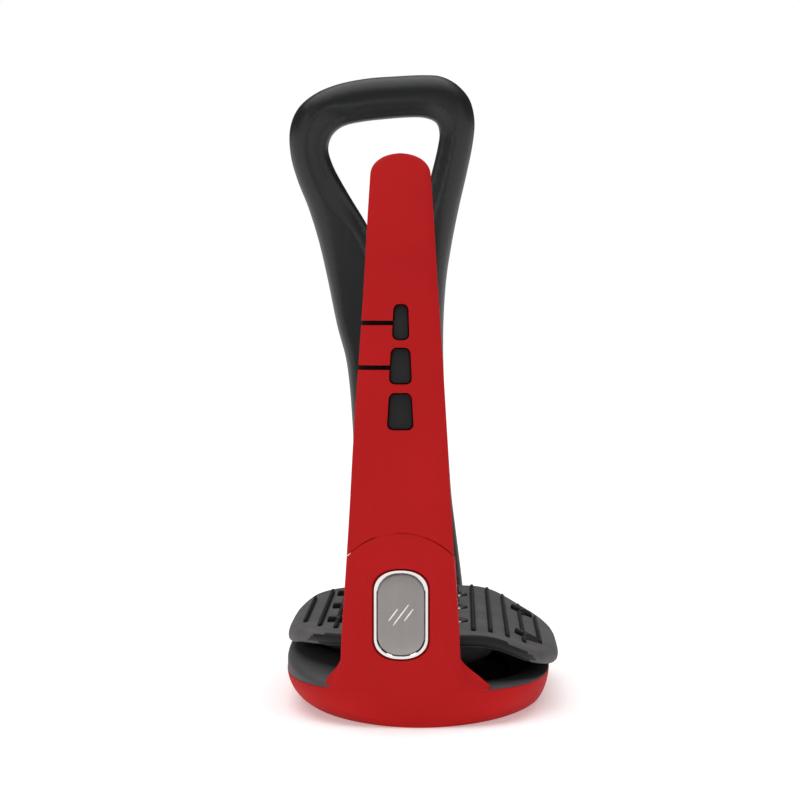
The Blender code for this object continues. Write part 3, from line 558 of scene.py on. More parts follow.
@dataclass
class Column:
    """The outer column's shape, shared by the fixed tongue and the flexing branch."""

    front: float = field(default_factory=lambda: node_box("branch_cover")[0].y)
    tip: float = field(default_factory=lambda: node_box("branch_cover")[1].z)
    crown: float = field(default_factory=lambda: node_box("base_cover")[1].z)
    depth: float = 8.5
    widths: tuple[Point2, ...] = (
        (9.0, 15.0), (17.0, 14.7), (27.0, 14.3), (51.0, 12.6), (71.0, 11.5),
        (95.0, 10.0), (109.5, 9.1), (125.0, 8.3), (136.7, 7.6),
    )
    seam_radius: float = 17.4
    lean_start: float = 60.0
    lean_reach: float = 29.5
    lean_power: float = 1.9
    bevel_low: float = 4.4
    bevel_high: float = 1.7
    bevel_back_low: float = 2.3
    bevel_back_high: float = 1.3
    side_lean: float = 0.6
    side_lean_start: float = 90.0
    facet_crown: float = 0.32
    profile_corner: float = 0.9

    def half_width(self, z: float) -> float:
        """Half the column's width at a height."""
        return between(self.widths, z)

    def lean(self, z: float) -> float:
        """How far in the front stands from its foot, at a height."""
        along = max(z - self.lean_start, 0.0) / (self.tip - self.lean_start)
        return self.lean_reach * along**self.lean_power

    def sideways(self, z: float) -> float:
        """How far the centre line stands over to the heel side, at a height."""
        along = max(z - self.side_lean_start, 0.0) / (self.tip - self.side_lean_start)
        return -self.side_lean * along**1.5

    def seam(self, x: float) -> float:
        """Height of the arc between tongue and branch."""
        reach = min(abs(x), self.seam_radius)
        return self.crown - self.seam_radius + math.sqrt(self.seam_radius**2 - reach**2)

    def profile(self, half: float, z: float, back: float) -> list[Point2]:
        """The front from the toe side's back edge to the heel side's, as X and depth behind the front plane.

        Args:
            half: Half the width.
            z: The height, which sets how wide the side facets are.
            back: How far back the sides reach.

        Returns:
            Points whose count never changes.
        """
        share = smooth_step(20.0, self.tip, z)
        facet = mix(self.bevel_low, self.bevel_high, share) * min(half / 7.6, 1.0)
        drop = mix(self.bevel_back_low, self.bevel_back_high, share)
        side = [(half, back), (half, drop), (half - facet, self.facet_crown), (0.0, 0.0)]
        toe = [(-x, y) for x, y in side]
        return rounded_path([*toe, *reversed(side[:-1])], self.profile_corner, 4, 5)


@dataclass
class BaseCover:
    """The red hull with the fixed tongue, its badge and its pocket."""

    column: Column
    rim_z: float = 9.0
    foot_z: float = 0.15
    rim: Outline = (3.7, 34.4, 67.5, 3.0)
    foot: Outline = (4.5, 31.8, 67.0, 1.95)
    flare_toe: float = -18.8
    flare_heel: float = 21.8
    flare_top: float = 16.5
    wall: float = 1.7
    rest_count: int = 150
    landing: tuple[Point2, ...] = ((0.0, 0.0), (7.0, 0.035), (16.0, 0.37), (25.0, 1.0))
    landing_middle: float = 0.8
    hull_heights: tuple[float, ...] = (1.0, 1.5, 2.2, 3.1, 4.2, 5.4, 6.6, 7.6, 8.4, 8.8)
    belly_power: float = 1.7
    swell_centre: float = 1.0
    swell_reach: Point2 = (7.0, 18.5)
    tongue_levels: tuple[float, ...] = (
        0.012, 0.03, 0.055, 0.085, 0.12, 0.155, 0.19, 0.23, 0.28, 0.34, 0.42, 0.52, 0.62, 0.72, 0.82,
        0.90, 0.95, 0.98, 1.0,
    )
    notch_x: Point2 = (-16.3, 16.8)
    notch_z: Point2 = (4.2, 30.0)
    notch_depth: float = 9.8
    passage_half: float = 5.6
    passage_z: Point2 = (38.5, 50.0)
    pocket_gap: float = 0.35
    crease_index: int = 7
    facet_index: int = 16
    badge: tuple[float, float, float, float] = (0.2, 27.9, 6.7, 10.95)
    badge_end: float = 5.2
    badge_power: float = 2.25
    bezel_section: tuple[Point2, ...] = (
        (0.0, 0.85), (0.0, 0.18), (-0.12, -0.05), (-0.38, -0.16), (-0.66, -0.08), (-0.86, 0.22),
        (-0.92, 0.85),
    )
    plate_section: tuple[Point2, ...] = (
        (-1.0, 0.85), (-1.0, 0.36), (-1.12, 0.26), (-1.4, 0.22), (-3.5, 0.20), (-5.2, 0.20),
    )
    plate_depth: float = 0.22
    marks: tuple[Point2, ...] = ((-1.9, 1.5), (0.0, 2.6), (1.9, 1.5))
    mark_half: float = 0.30
    mark_section: tuple[Point2, ...] = ((-1.0, 0.0), (-0.6, 0.13), (0.6, 0.13), (1.0, 0.0))

    def angle_at(self, x: float) -> float:
        """The rim's angle whose point lies at X, on the outer side."""
        centre, half_x, _, power = self.rim
        reach = (x - centre) / half_x
        cosine = math.copysign(abs(reach) ** (power / 2), reach)
        return math.tau - math.acos(cosine)

    def rim_x(self, index: int, count: int) -> float:
        """Where the tongue's point of that index lands on the rim, along X."""
        steps = min(index, count - 1 - index)
        end = self.flare_toe if 2 * index < count - 1 else self.flare_heel
        places, shares = zip(*self.landing)
        return mix(end, self.landing_middle, float(np.interp(steps, places, shares)))

    def angles(self) -> tuple[list[float], list[float]]:
        """The ring's angles: those under the tongue, one for each point of its profile, and the rest."""
        count = len(self.column.profile(self.column.half_width(17.0), 17.0, self.column.depth))
        under = [self.angle_at(self.rim_x(index, count)) for index in range(count)]
        span = math.tau - (under[-1] - under[0])
        rest = [under[-1] + span * step / self.rest_count for step in range(1, self.rest_count)]
        return under, rest

    def hull_point(self, angle: float, z: float) -> Point3:
        """A point of the hull, swelled out where the tongue grows from it."""
        share = (1 - (z - self.foot_z) / (self.rim_z - self.foot_z)) ** self.belly_power
        outline = tuple(mix(r, f, share) for r, f in zip(self.rim, self.foot))
        x, y = superellipse_point(outline, angle)
        if y < 0:
            across = 1 - smooth_step(*self.swell_reach, abs(x - self.swell_centre))
            swell = across * smooth_step(0.5, self.rim_z + 3.0, z)
            y = mix(y, self.column.front, swell)
        return x, y, z

    def flare_share(self, z: float, steps: int) -> float:
        """How far a tongue's point has moved from the column to the rim.

        Args:
            z: The point's height.
            steps: How many points it lies from the tongue's back edge.

        Returns:
            0 on the column and 1 on the rim.
        """
        fall = min(max((self.flare_top - z) / (self.flare_top - self.rim_z), 0.0), 1.0)
        edge = smooth_step(0.0, 0.95, fall)
        crease = 1 - math.sqrt(1 - fall * fall)
        middle = 1 - smooth_step(self.rim_z - 1.0, 23.0, z)
        if steps <= self.crease_index:
            return mix(edge, crease, steps / self.crease_index)
        onward = (steps - self.crease_index) / (self.facet_index - self.crease_index)
        return mix(crease, middle, min(onward, 1.0))

    def tongue_rows(self, rim_row: list[Point3]) -> list[list[Point3]]:
        """The rows from the rim up to the seam."""
        rows = []
        count = len(rim_row)
        for level in self.tongue_levels:
            row = []
            for index, start in enumerate(rim_row):
                guess = self.column.half_width(25.0) * (2 * index / (count - 1) - 1)
                z = mix(self.rim_z, self.column.seam(guess), level)
                path = self.column.profile(self.column.half_width(z), z, self.column.depth)
                x, back = path[index]
                z = mix(self.rim_z, self.column.seam(x), level)
                share = self.flare_share(z, min(index, count - 1 - index))
                row.append((mix(x, start[0], share), mix(self.column.front + back, start[1], share), z))
            rows.append(row)
        return rows

    def build(self, bench: Bench) -> None:
        """Makes the hull and tongue as one moulding and cuts the badge's pocket and the branch's notch.

        Args:
            bench: The bench that dresses and mounts the piece.
        """
        under, rest = self.angles()
        shaper = Shaper()
        ring = under + rest
        row = shaper.first_ring([self.hull_point(a, self.foot_z) for a in ring])
        for z in (*self.hull_heights, self.rim_z):
            row = shaper.next_ring(row, [self.hull_point(a, z) for a in ring])
        rim_row = [self.hull_point(a, self.rim_z) for a in under]
        tongue = row[: len(under)]
        for points in self.tongue_rows(rim_row):
            tongue = shaper.next_ring(tongue, points)
        cover = shaper.finish("base_hull_cover", sharp=50.0, turn_out=False)
        self.face_out(cover)
        solidify(cover, self.wall)
        notch_y = node_box("frame_arch")[1].y - self.notch_depth
        low, high = zip(self.notch_x, (notch_y, notch_y + 30.0), self.notch_z)
        cut(cover, Shaper().box(low, high).finish("notch"))
        front = self.column.front
        pocket = Shaper().prism(self.badge_outline(self.pocket_gap), front - 4.0, front + 1.2)
        cut(cover, pocket.finish("pocket"))
        back = front + self.column.depth
        low, high = zip((-self.passage_half, self.passage_half), (back - 3.7, back + 8.0), self.passage_z)
        cut(cover, Shaper().box(low, high).finish("passage"))
        round_rims(cover, 0.22, 2, 55.0)
        soften(cover, 24.0)
        bench.mount(cover, Body.BASE, Slot.RED, ["base_cover"])
        self.build_badge(bench)

    @staticmethod
    def face_out(obj: bpy.types.Object) -> None:
        """Turns an open skin's faces away from the stirrup's middle."""
        bm = bmesh.new()
        bm.from_mesh(obj.data)
        bmesh.ops.recalc_face_normals(bm, faces=bm.faces)
        inward = sum(face.normal.dot(face.calc_center_median()) * face.calc_area() for face in bm.faces)
        if inward < 0:
            bmesh.ops.reverse_faces(bm, faces=bm.faces)
        bm.to_mesh(obj.data)
        bm.free()

    def badge_outline(self, grow: float, count: int = 96) -> list[Point2]:
        """The badge's outline: straight sides and flattened round ends."""
        centre_x, centre_z, half_x, half_z = self.badge
        half_x, half_z = half_x + grow, half_z + grow
        end = min(self.badge_end, half_z)
        points = []
        for step in range(count):
            angle = math.tau * (step + 0.5) / count
            c, s = math.cos(angle), math.sin(angle)
            x = half_x * math.copysign(abs(c) ** (2 / self.badge_power), c)
            z = end * math.copysign(abs(s) ** (2 / self.badge_power), s)
            points.append((centre_x + x, centre_z + z + math.copysign(half_z - end, s)))
        return points

    def build_badge(self, bench: Bench) -> None:
        """Makes the polished bezel, the brushed plate in it and the plate's three slanted lines."""
        front = self.column.front
        rows = [
            [(x, front + max(depth, 0.0), z) for x, z in self.badge_outline(grow)]
            for grow, depth in self.bezel_section
        ]
        bezel = Shaper()
        row = bezel.first_ring(rows[0])
        for points in rows[1:] + rows[:1]:
            row = bezel.next_ring(row, points)
        bench.mount(bezel.finish("badge_bezel_ring"), Body.BASE, Slot.POLISHED, ["badge_bezel"])

        plate = Shaper().loft([
            [(x, front + depth, z) for x, z in self.badge_outline(grow)] for grow, depth in self.plate_section
        ])
        bench.mount(plate.finish("badge_brushed_plate"), Body.BASE, Slot.PLATE, ["badge_plate"])

        centre_x, centre_z, _, _ = self.badge
        lines = Shaper()
        for shift, half in self.marks:
            ends = [Vector((shift + sign * half * 0.75, sign * half)) for sign in (-1, 1)]
            across = (ends[1] - ends[0]).orthogonal().normalized()
            rows = []
            for along in (0.0, 0.04, 0.12, 0.5, 0.88, 0.96, 1.0):
                middle = ends[0].lerp(ends[1], along)
                width = self.mark_half * math.sqrt(max(1 - (2 * along - 1) ** 4, 0.05))
                places = [(middle + across * width * side, up) for side, up in self.mark_section]
                rows.append([
                    (centre_x + at.x, front + self.plate_depth - up, centre_z + at.y) for at, up in places
                ])
            lines.loft(rows)
        bench.mount(lines.finish("badge_slant_lines"), Body.BASE, Slot.POLISHED)


@dataclass
class BaseCasting:
    """The grey deck with the well under the tread, the post behind the tongue and the lugs of the axle."""

    column: Column
    cover: BaseCover
    rise_toe: float = 7.2
    rise_heel: float = 0.5
    well: Outline = (1.0, 26.8, 40.4, 2.6)
    well_floor: float = 4.2
    heel_hollow: Outline = (17.0, 16.8, 50.0, 2.4)
    heel_hollow_floor: float = 6.2
    underside: Outline = (5.0, 28.0, 62.5, 2.3)
    rim_lift: float = 0.06
    deck_steps: int = 18
    deck_spread: float = 1.9
    lug_x: float = 5.0
    lug_half: float = 3.5
    lug_span: Point2 = (4.5, 8.5)
    post_half: float = 11.2
    post_drop: float = 5.8
    count: int = 160

    def deck_height(self, x: float, y: float) -> float:
        """The deck's height: a shoulder on the toe side that fades under the heel end of the tread."""
        centre, half_x, half_y, _ = self.cover.rim
        rise = mix(self.rise_toe, self.rise_heel, smooth_step(-6.0, 20.0, x))
        across = min(abs(y) / half_y, 1.0)
        width = max(half_x * (1 - across**3) ** (1 / 3), 0.1)
        part = min(abs(x - centre) / width, 1.0)
        return self.cover.rim_z + rise * (1 - across**2.2) * (1 - part**8) ** 0.25

    def ring(self, outline: Outline, z: float | None = None) -> list[Point3]:
        """A ring of the deck, at a height or on the deck's own surface."""
        points = superellipse(outline, self.count)
        return [(x, self.behind_tongue(x, y), self.deck_height(x, y) if z is None else z) for x, y in points]

    def behind_tongue(self, x: float, y: float) -> float:
        """Draws the deck's edge in behind the tongue and the inner branch's foot."""
        toe, heel = (self.cover.flare_toe, self.cover.flare_heel) if y < 0 else (-16.0, 16.5)
        share = smooth_step(toe - 0.9, toe + 0.9, x) * (1 - smooth_step(heel - 0.9, heel + 0.9, x))
        return math.copysign(min(abs(y), mix(abs(y), self.cover.rim[2] - 2.6, share)), y)

    def build(self, bench: Bench) -> None:
        """Makes the casting, with painted shade (a near-black finish) on the low faces of its well and heel
        hollow.
        """
        rim = inset(self.cover.rim, 0.10)
        inner = inset(self.cover.rim, self.cover.wall + 0.5)
        top = self.cover.rim_z + self.rim_lift
        rows = [self.ring(self.underside, 3.0), self.ring(inner, 6.5)]
        rows += [self.ring(inner, top), self.ring(rim, top)]
        for step in range(self.deck_steps + 1):
            share = (step / self.deck_steps) ** self.deck_spread
            outline = tuple(mix(a, b, share) for a, b in zip(inset(rim, 0.01), inset(self.well, -0.6)))
            rows.append([(x, y, z + 0.12) for x, y, z in self.ring(outline)])
        rows.append([(x, y, z - 0.1) for x, y, z in self.ring(inset(self.well, -0.15))])
        rows.append([(x, y, z - 0.6) for x, y, z in self.ring(self.well)])
        for by, rise in ((0.0, 1.0), (0.4, 0.2), (1.4, 0.0)):
            rows.append(self.ring(inset(self.well, by), self.well_floor + rise))
        casting = Shaper().loft(rows)
        lug_top = node_box("pitch_axle")[1].z + 1.1
        for side in (-1, 1):
            near, far = sorted(side * reach for reach in self.lug_span)
            casting.box((self.lug_x - self.lug_half, near, 3.6), (self.lug_x + self.lug_half, far, lug_top))
        deck = casting.finish("deck_casting", 40.0)
        hollow = [
            [(x, y, z) for x, y in superellipse(self.heel_hollow, 96)] for z in (self.heel_hollow_floor, 30.0)
        ]
        cut(deck, Shaper().loft(hollow).finish("heel_hollow"))
        round_rims(deck, 0.25, 2, 60.0)
        soften(deck, 40.0)
        bench.mount(deck, Body.BASE, Slot.DECK, ["base_body"])
        # Painted shade: the low faces inside the well and the heel hollow take the near-black finish.
        deck.data.materials.append(bench.paints.get(WELL_PAINTED_SHADE_FINISH))
        for face in deck.data.polygons:
            x, y, z = face.center / MM
            if z < self.deck_height(x, y) - 0.35 and z < self.cover.rim_z + 3.5 and self.in_hollow(x, y):
                face.material_index = 1
        self.build_post(bench)

    def in_hollow(self, x: float, y: float) -> bool:
        """Whether a place lies in the well or the heel side's hollow."""
        for centre, half_x, half_y, power in (inset(self.well, -0.3), inset(self.heel_hollow, -0.3)):
            if (abs(x - centre) / half_x) ** power + (abs(y) / half_y) ** power < 1:
                return True
        return False

    def build_post(self, bench: Bench) -> None:
        """Makes the post that fills the tongue from behind, with the clamp's seat and the blade's slot."""
        half, top = self.post_half, self.column.crown - self.post_drop
        arc = [(x * 0.78, self.column.seam(x) - self.post_drop) for x in np.linspace(half, -half, 25)]
        outline = [(half, 5.0), *[(float(a), float(b)) for a, b in arc], (-half, 5.0)]
        back = self.column.front + self.column.depth
        post = Shaper().prism(outline, self.column.front + 3.1, back + 1.4).round_edges(0.5, 3, 40)
        post_obj = post.finish("tongue_post", 40.0)
        clamp_low, clamp_high = node_box("blade_clamp")
        seat_low = (clamp_low.x - 0.3, back - 0.8, clamp_low.z - 0.3)
        seat_high = (clamp_high.x + 0.3, back + 10.0, clamp_high.z + 0.3)
        cut(post_obj, Shaper().box(seat_low, seat_high).finish("seat"))
        cut(post_obj, Shaper().box((-5.3, back - 2.0, 13.0), (5.3, back + 10.0, top + 20)).finish("slot"))
        round_rims(post_obj, 0.2, 2, 60.0)
        soften(post_obj, 40.0)
        bench.mount(post_obj, Body.BASE, Slot.POLYAMIDE)


# ---------------------------------------------------------------- outer branch


@dataclass
class OuterBranch:
    """The red cover and the black core of the branch that flexes outwards."""

    column: Column
    cover_depth: float = 3.6
    cap_rise: float = 5.7
    bend: tuple[float, float] = (49.0, 86.0)
    windows: tuple[Point3, ...] = ((99.2, 4.0, 8.9), (88.5, 5.25, 9.0), (77.45, 6.1, 9.1))
    window_taper: float = 0.045
    window_corner: float = 1.5
    window_recess: float = 0.9
    slits: tuple[float, ...] = (99.0, 88.1)
    slit_height: float = 1.15
    foot_drop: float = 4.8
    stem_rows: int = 48
    cap_rows: int = 14
    core_corner: float = 2.2
    core_gap: float = 0.06
    blade_half: float = 5.0
    blade_thickness: float = 0.8
    blade_z: Point2 = (43.3, 131.0)

    def levels(self) -> list[tuple[float, float]]:
        """Heights of the rows with the half width of each, from the seam to the tip."""
        column = self.column
        shoulder = column.tip - self.cap_rise
        heights = np.linspace(column.crown - self.foot_drop, shoulder, self.stem_rows)
        found = [(z, column.half_width(z)) for z in heights]
        top = column.half_width(shoulder)
        for step in range(1, self.cap_rows + 1):
            angle = math.pi / 2 * step / self.cap_rows
            found.append((shoulder + self.cap_rise * math.sin(angle) ** 0.96, top * math.cos(angle) ** 0.94))
        return [(float(z), float(half)) for z, half in found]

    def rows(self, profile: Callable[[float, float], list[Point2]]) -> list[list[Point3]]:
        """Places a closed section at each level, on the arc at the foot and leaning in towards the tip."""
        column = self.column
        start = column.crown - self.foot_drop
        rows = []
        for z, half in self.levels():
            row = []
            fade = max(1 - (z - start) / 16.0, 0.0) ** 2
            for x, back in profile(max(half, 0.02), z):
                at = z + (column.seam(x) + GAP - start) * fade
                row.append((x + column.sideways(at), column.front + back + column.lean(at), at))
            rows.append(row)
        return rows

    def cover_section(self, half: float, z: float) -> list[Point2]:
        """The red cover's section."""
        front = self.column.profile(half, z, self.cover_depth)
        inside = half - 0.3 if half > 1 else half * 0.7
        back = [(inside * x, self.cover_depth) for x in np.linspace(1.0, -1.0, 14)]
        return front + [(float(x), y) for x, y in back]

    def core_section(self, half: float, _z: float) -> list[Point2]:
        """The core's section, with rounded edges on the foot's side."""
        front, back, corner = self.cover_depth + self.core_gap, self.column.depth, self.core_corner
        half = half if half < 1 else half - 0.15
        corners = [(-half, front), (-half, back - corner * 0.2), (-half * 0.80, back), (half * 0.80, back),
                   (half, back - corner * 0.2), (half, front)]
        path = rounded_path(corners, 1.4, 4, 4)
        return path + [(float(x), front) for x in np.linspace(half * 0.9, -half * 0.9, 10)]

    def window_outline(self, window: Point3, grow: float) -> list[Point2]:
        """A window's outline: a rounded box, a little wider at the foot."""
        z, width, height = window
        half_x, half_z, corner = width / 2 + grow, height / 2 + grow, self.window_corner + grow
        points = []
        for quarter, (sx, sz) in enumerate(((1, 1), (-1, 1), (-1, -1), (1, -1))):
            for step in range(7):
                angle = math.pi / 2 * (quarter + step / 6)
                x = sx * (half_x - corner) + corner * math.cos(angle)
                up = sz * (half_z - corner) + corner * math.sin(angle)
                points.append((x * (1 - self.window_taper * up / 2.2), z + up))
        return points

    def build(self, bench: Bench) -> None:
        """Makes the cover, cuts its windows and slits, and makes the core with a boss in each window."""
        column = self.column
        cover = Shaper().loft(self.rows(self.cover_section)).finish("branch_front_cover", 50.0)
        for window in self.windows:
            front = column.front + column.lean(window[0])
            outline = self.window_outline(window, 0.0)
            cut(cover, Shaper().prism(outline, front - 9.0, front + 12.0).finish("window"))
        for z in self.slits:
            low, high = z - self.slit_height / 2, z + self.slit_height / 2
            front = column.front + column.lean(z)
            cut(cover, Shaper().box((-20.0, front - 6.0, low), (-0.8, front + 9.0, high)).finish("slit"))
        round_rims(cover, 0.20, 2, 48.0)
        soften(cover, 32.0)
        bench.mount(cover, Body.BRANCH, Slot.RED, ["branch_cover"], bend=self.bend)

        core = Shaper().loft(self.rows(self.core_section))
        core_obj = core.finish("branch_rubber_core", 45.0)
        bench.mount(core_obj, Body.BRANCH, Slot.ELASTOMER, ["branch_core"], bend=self.bend)
        for number, window in enumerate(self.windows, 1):
            outline = self.window_outline(window, -0.12)
            boss = Shaper().prism(outline, self.window_recess, self.cover_depth + 1.0)
            boss.round_edges(0.45, 3, 40)
            boss.move(lambda at: (at.x, at.y + column.front + column.lean(at.z), at.z))
            piece = boss.finish(f"window_boss_{number}")
            bench.mount(piece, Body.BRANCH, Slot.ELASTOMER, bend=self.bend)
        low, high = zip((-self.blade_half, self.blade_half), (0.0, self.blade_thickness), self.blade_z)
        blade = Shaper().box(low, high)
        for z in np.linspace(48.0, 128.0, 21):
            geometry = blade.bm.verts[:] + blade.bm.edges[:] + blade.bm.faces[:]
            bmesh.ops.bisect_plane(
                blade.bm, geom=geometry, dist=1e-5, plane_co=(0, 0, z), plane_no=(0, 0, 1)
            )
        rear = column.front + column.depth - 1.6
        blade.move(lambda at: (at.x, at.y + rear + column.lean(at.z), at.z))
        strip = blade.finish("spring_blade_strip")
        bench.mount(strip, Body.BRANCH, Slot.STEEL, ["spring_blade"], bend=self.bend)


# ---------------------------------------------------------------- inner branch


@dataclass
class InnerBranch:
    """The black inner branch with the leather eye.

    It is a height field over its outline, the same on both faces, that bends in over its height.
    """

    base_y: float = field(default_factory=lambda: node_box("frame_arch")[1].y - 4.75)
    eye_y: float = 5.5
    lean_start: float = 45.0
    lean_end: float = 158.0
    half_depth: float = 4.75
    eye_half_depth: float = 6.25
    cell: float = 0.9
    ridge_softness: float = 0.02
    round_reach: Point2 = (2.6, 7.4)
    round_power: float = 2.3
    eye_heights: Point2 = (96.0, 152.0)
    toe_reach: Point2 = (-23.0, -13.0)
    wall: Point2 = (1.3, 3.0)
    ridge: Point2 = (4.0, 6.7)
    lip: Point2 = (0.44, 0.66)
    cells_x: Point2 = (-32.0, 19.0)
    cells_z: Point2 = (4.0, 165.0)
    rims: tuple[float, ...] = (0.08, 0.14, 0.22, 0.32, 0.45)
    outline: tuple[Point2, ...] = (
        (-16.0, 4.8), (-16.0, 10.0), (-16.2, 25.0), (-16.3, 40.0), (-16.2, 55.0), (-16.3, 68.0),
        (-17.5, 86.0), (-19.9, 97.0), (-22.1, 110.0), (-24.1, 120.0), (-26.6, 129.0), (-29.4, 136.5),
        (-31.05, 143.0), (-31.15, 150.0), (-29.0, 155.4), (-24.6, 159.3), (-18.5, 161.9), (-10.5, 163.5),
        (-2.5, 164.1), (5.0, 164.4), (9.5, 164.0), (13.6, 161.9), (17.0, 158.0), (18.4, 152.5),
        (18.0, 146.5), (16.4, 138.5), (14.2, 129.0), (12.2, 119.0), (10.7, 109.0), (9.9, 96.0),
        (10.0, 83.0), (10.8, 68.0), (12.1, 48.0), (13.3, 38.0), (15.3, 22.0), (16.2, 12.0), (16.4, 4.8),
    )
    window: tuple[Point2, ...] = (
        (-20.9, 144.8), (-19.8, 148.3), (-16.9, 150.7), (-12.0, 151.9), (-6.0, 152.6), (1.0, 153.1),
        (5.3, 152.9), (8.1, 151.6), (9.0, 149.0), (8.6, 145.5), (7.3, 140.0), (5.4, 133.2), (3.1, 126.0),
        (0.6, 119.3), (-1.4, 115.8), (-3.7, 114.4), (-6.1, 115.7), (-8.5, 120.0), (-11.3, 125.5),
        (-14.6, 131.0), (-17.6, 136.2), (-19.8, 140.6),
    )

    def lean(self, z: float) -> float:
        """How far the branch has come in at a height, from 0 to 1."""
        return smooth_step(self.lean_start, self.lean_end, z)

    def section(self, x: float, z: float, to_edge: float, to_window: float) -> float:
        """The moulding's height as a share of its half depth.

        Args:
            x: The place along X.
            z: The place's height.
            to_edge: Distance to the outer outline.
            to_window: Distance to the eye's window.

        Returns:
            0 at an edge and 1 on the ridge.
        """
        reach = mix(*self.round_reach, smooth_step(*self.eye_heights, z))
        outer = math.sqrt(max(1 - (1 - min(to_edge / reach, 1.0)) ** self.round_power, 0.0))
        toe_side = 1 - smooth_step(*self.toe_reach, x)
        wall, ridge, lip_height = (mix(*ends, toe_side) for ends in (self.wall, self.ridge, self.lip))
        lip = math.sqrt(max(1 - (1 - min(to_window / wall, 1.0)) ** 2, 0.0)) * lip_height
        rise = max(to_window - wall, 0.0) / (ridge - wall)
        inner = min(lip + (1 - lip_height) * rise, 1.0)
        share = min(max(0.5 + 0.5 * (inner - outer) / self.ridge_softness, 0.0), 1.0)
        return mix(inner, outer, share) - self.ridge_softness * share * (1 - share)

    @staticmethod
    def distances(places: np.ndarray, loop: Sequence[Point2]) -> np.ndarray:
        """Distance from each place in X and Z to a closed loop."""
        a = np.array(loop)
        b = np.roll(a, -1, axis=0)
        along = b - a
        length = (along**2).sum(1)
        offset = places[:, None, :] - a[None]
        t = np.clip((offset * along).sum(2) / length, 0, 1)
        return np.linalg.norm(offset - t[..., None] * along, axis=2).min(1)

    def build(self, bench: Bench) -> None:
        """Fills the outline, cuts it into cells, raises them by the section and mirrors them to the back.

        Args:
            bench: The bench that dresses and mounts the piece.
        """
        edge = closed_spline(self.outline, 8)
        window = closed_spline(self.window, 6)
        shaper = Shaper()
        sheet = shaper.bm
        for loop in (edge, window):
            shaper.first_ring([(x, 0.0, z) for x, z in loop])
        bmesh.ops.triangle_fill(sheet, use_beauty=True, use_dissolve=False, edges=sheet.edges[:])
        bmesh.ops.recalc_face_normals(sheet, faces=sheet.faces)
        inside = sheet.faces[:]
        for rim in self.rims:
            bmesh.ops.inset_region(
                sheet, faces=inside, thickness=rim, use_boundary=True, use_even_offset=True
            )
        for axis, (start, stop) in ((0, self.cells_x), (2, self.cells_z)):
            for place in np.arange(start, stop, self.cell):
                centre, normal = Vector(), Vector()
                centre[axis], normal[axis] = float(place), 1.0
                geometry = sheet.verts[:] + sheet.edges[:] + sheet.faces[:]
                bmesh.ops.bisect_plane(sheet, geom=geometry, dist=0.02, plane_co=centre, plane_no=normal)
        places = np.array([(v.co.x, v.co.z) for v in sheet.verts])
        to_edge, to_window = self.distances(places, edge), self.distances(places, window)
        for vert, a, b in zip(sheet.verts, to_edge, to_window):
            vert.co.y = -self.section(vert.co.x, vert.co.z, float(a), float(b)) if min(a, b) > 1e-3 else 0.0
        twin = bmesh.ops.duplicate(sheet, geom=sheet.verts[:] + sheet.edges[:] + sheet.faces[:])["geom"]
        for vert in (item for item in twin if isinstance(item, bmesh.types.BMVert)):
            vert.co.y = -vert.co.y
        bmesh.ops.remove_doubles(sheet, verts=sheet.verts, dist=0.001)
        bmesh.ops.triangulate(sheet, faces=sheet.faces[:], quad_method="BEAUTY", ngon_method="BEAUTY")
        shaper.move(self.bent)
        arch = shaper.finish("inner_branch_with_eye", 60.0)
        bench.mount(arch, Body.BASE, Slot.POLYAMIDE, ["frame_arch"])

    def bent(self, at: Vector) -> Point3:
        """Where a point of the straight moulding goes."""
        share = self.lean(at.z)
        middle = mix(self.base_y, self.eye_y, share)
        return at.x, middle + at.y * mix(self.half_depth, self.eye_half_depth, share), at.z


# ---------------------------------------------------------------- tread


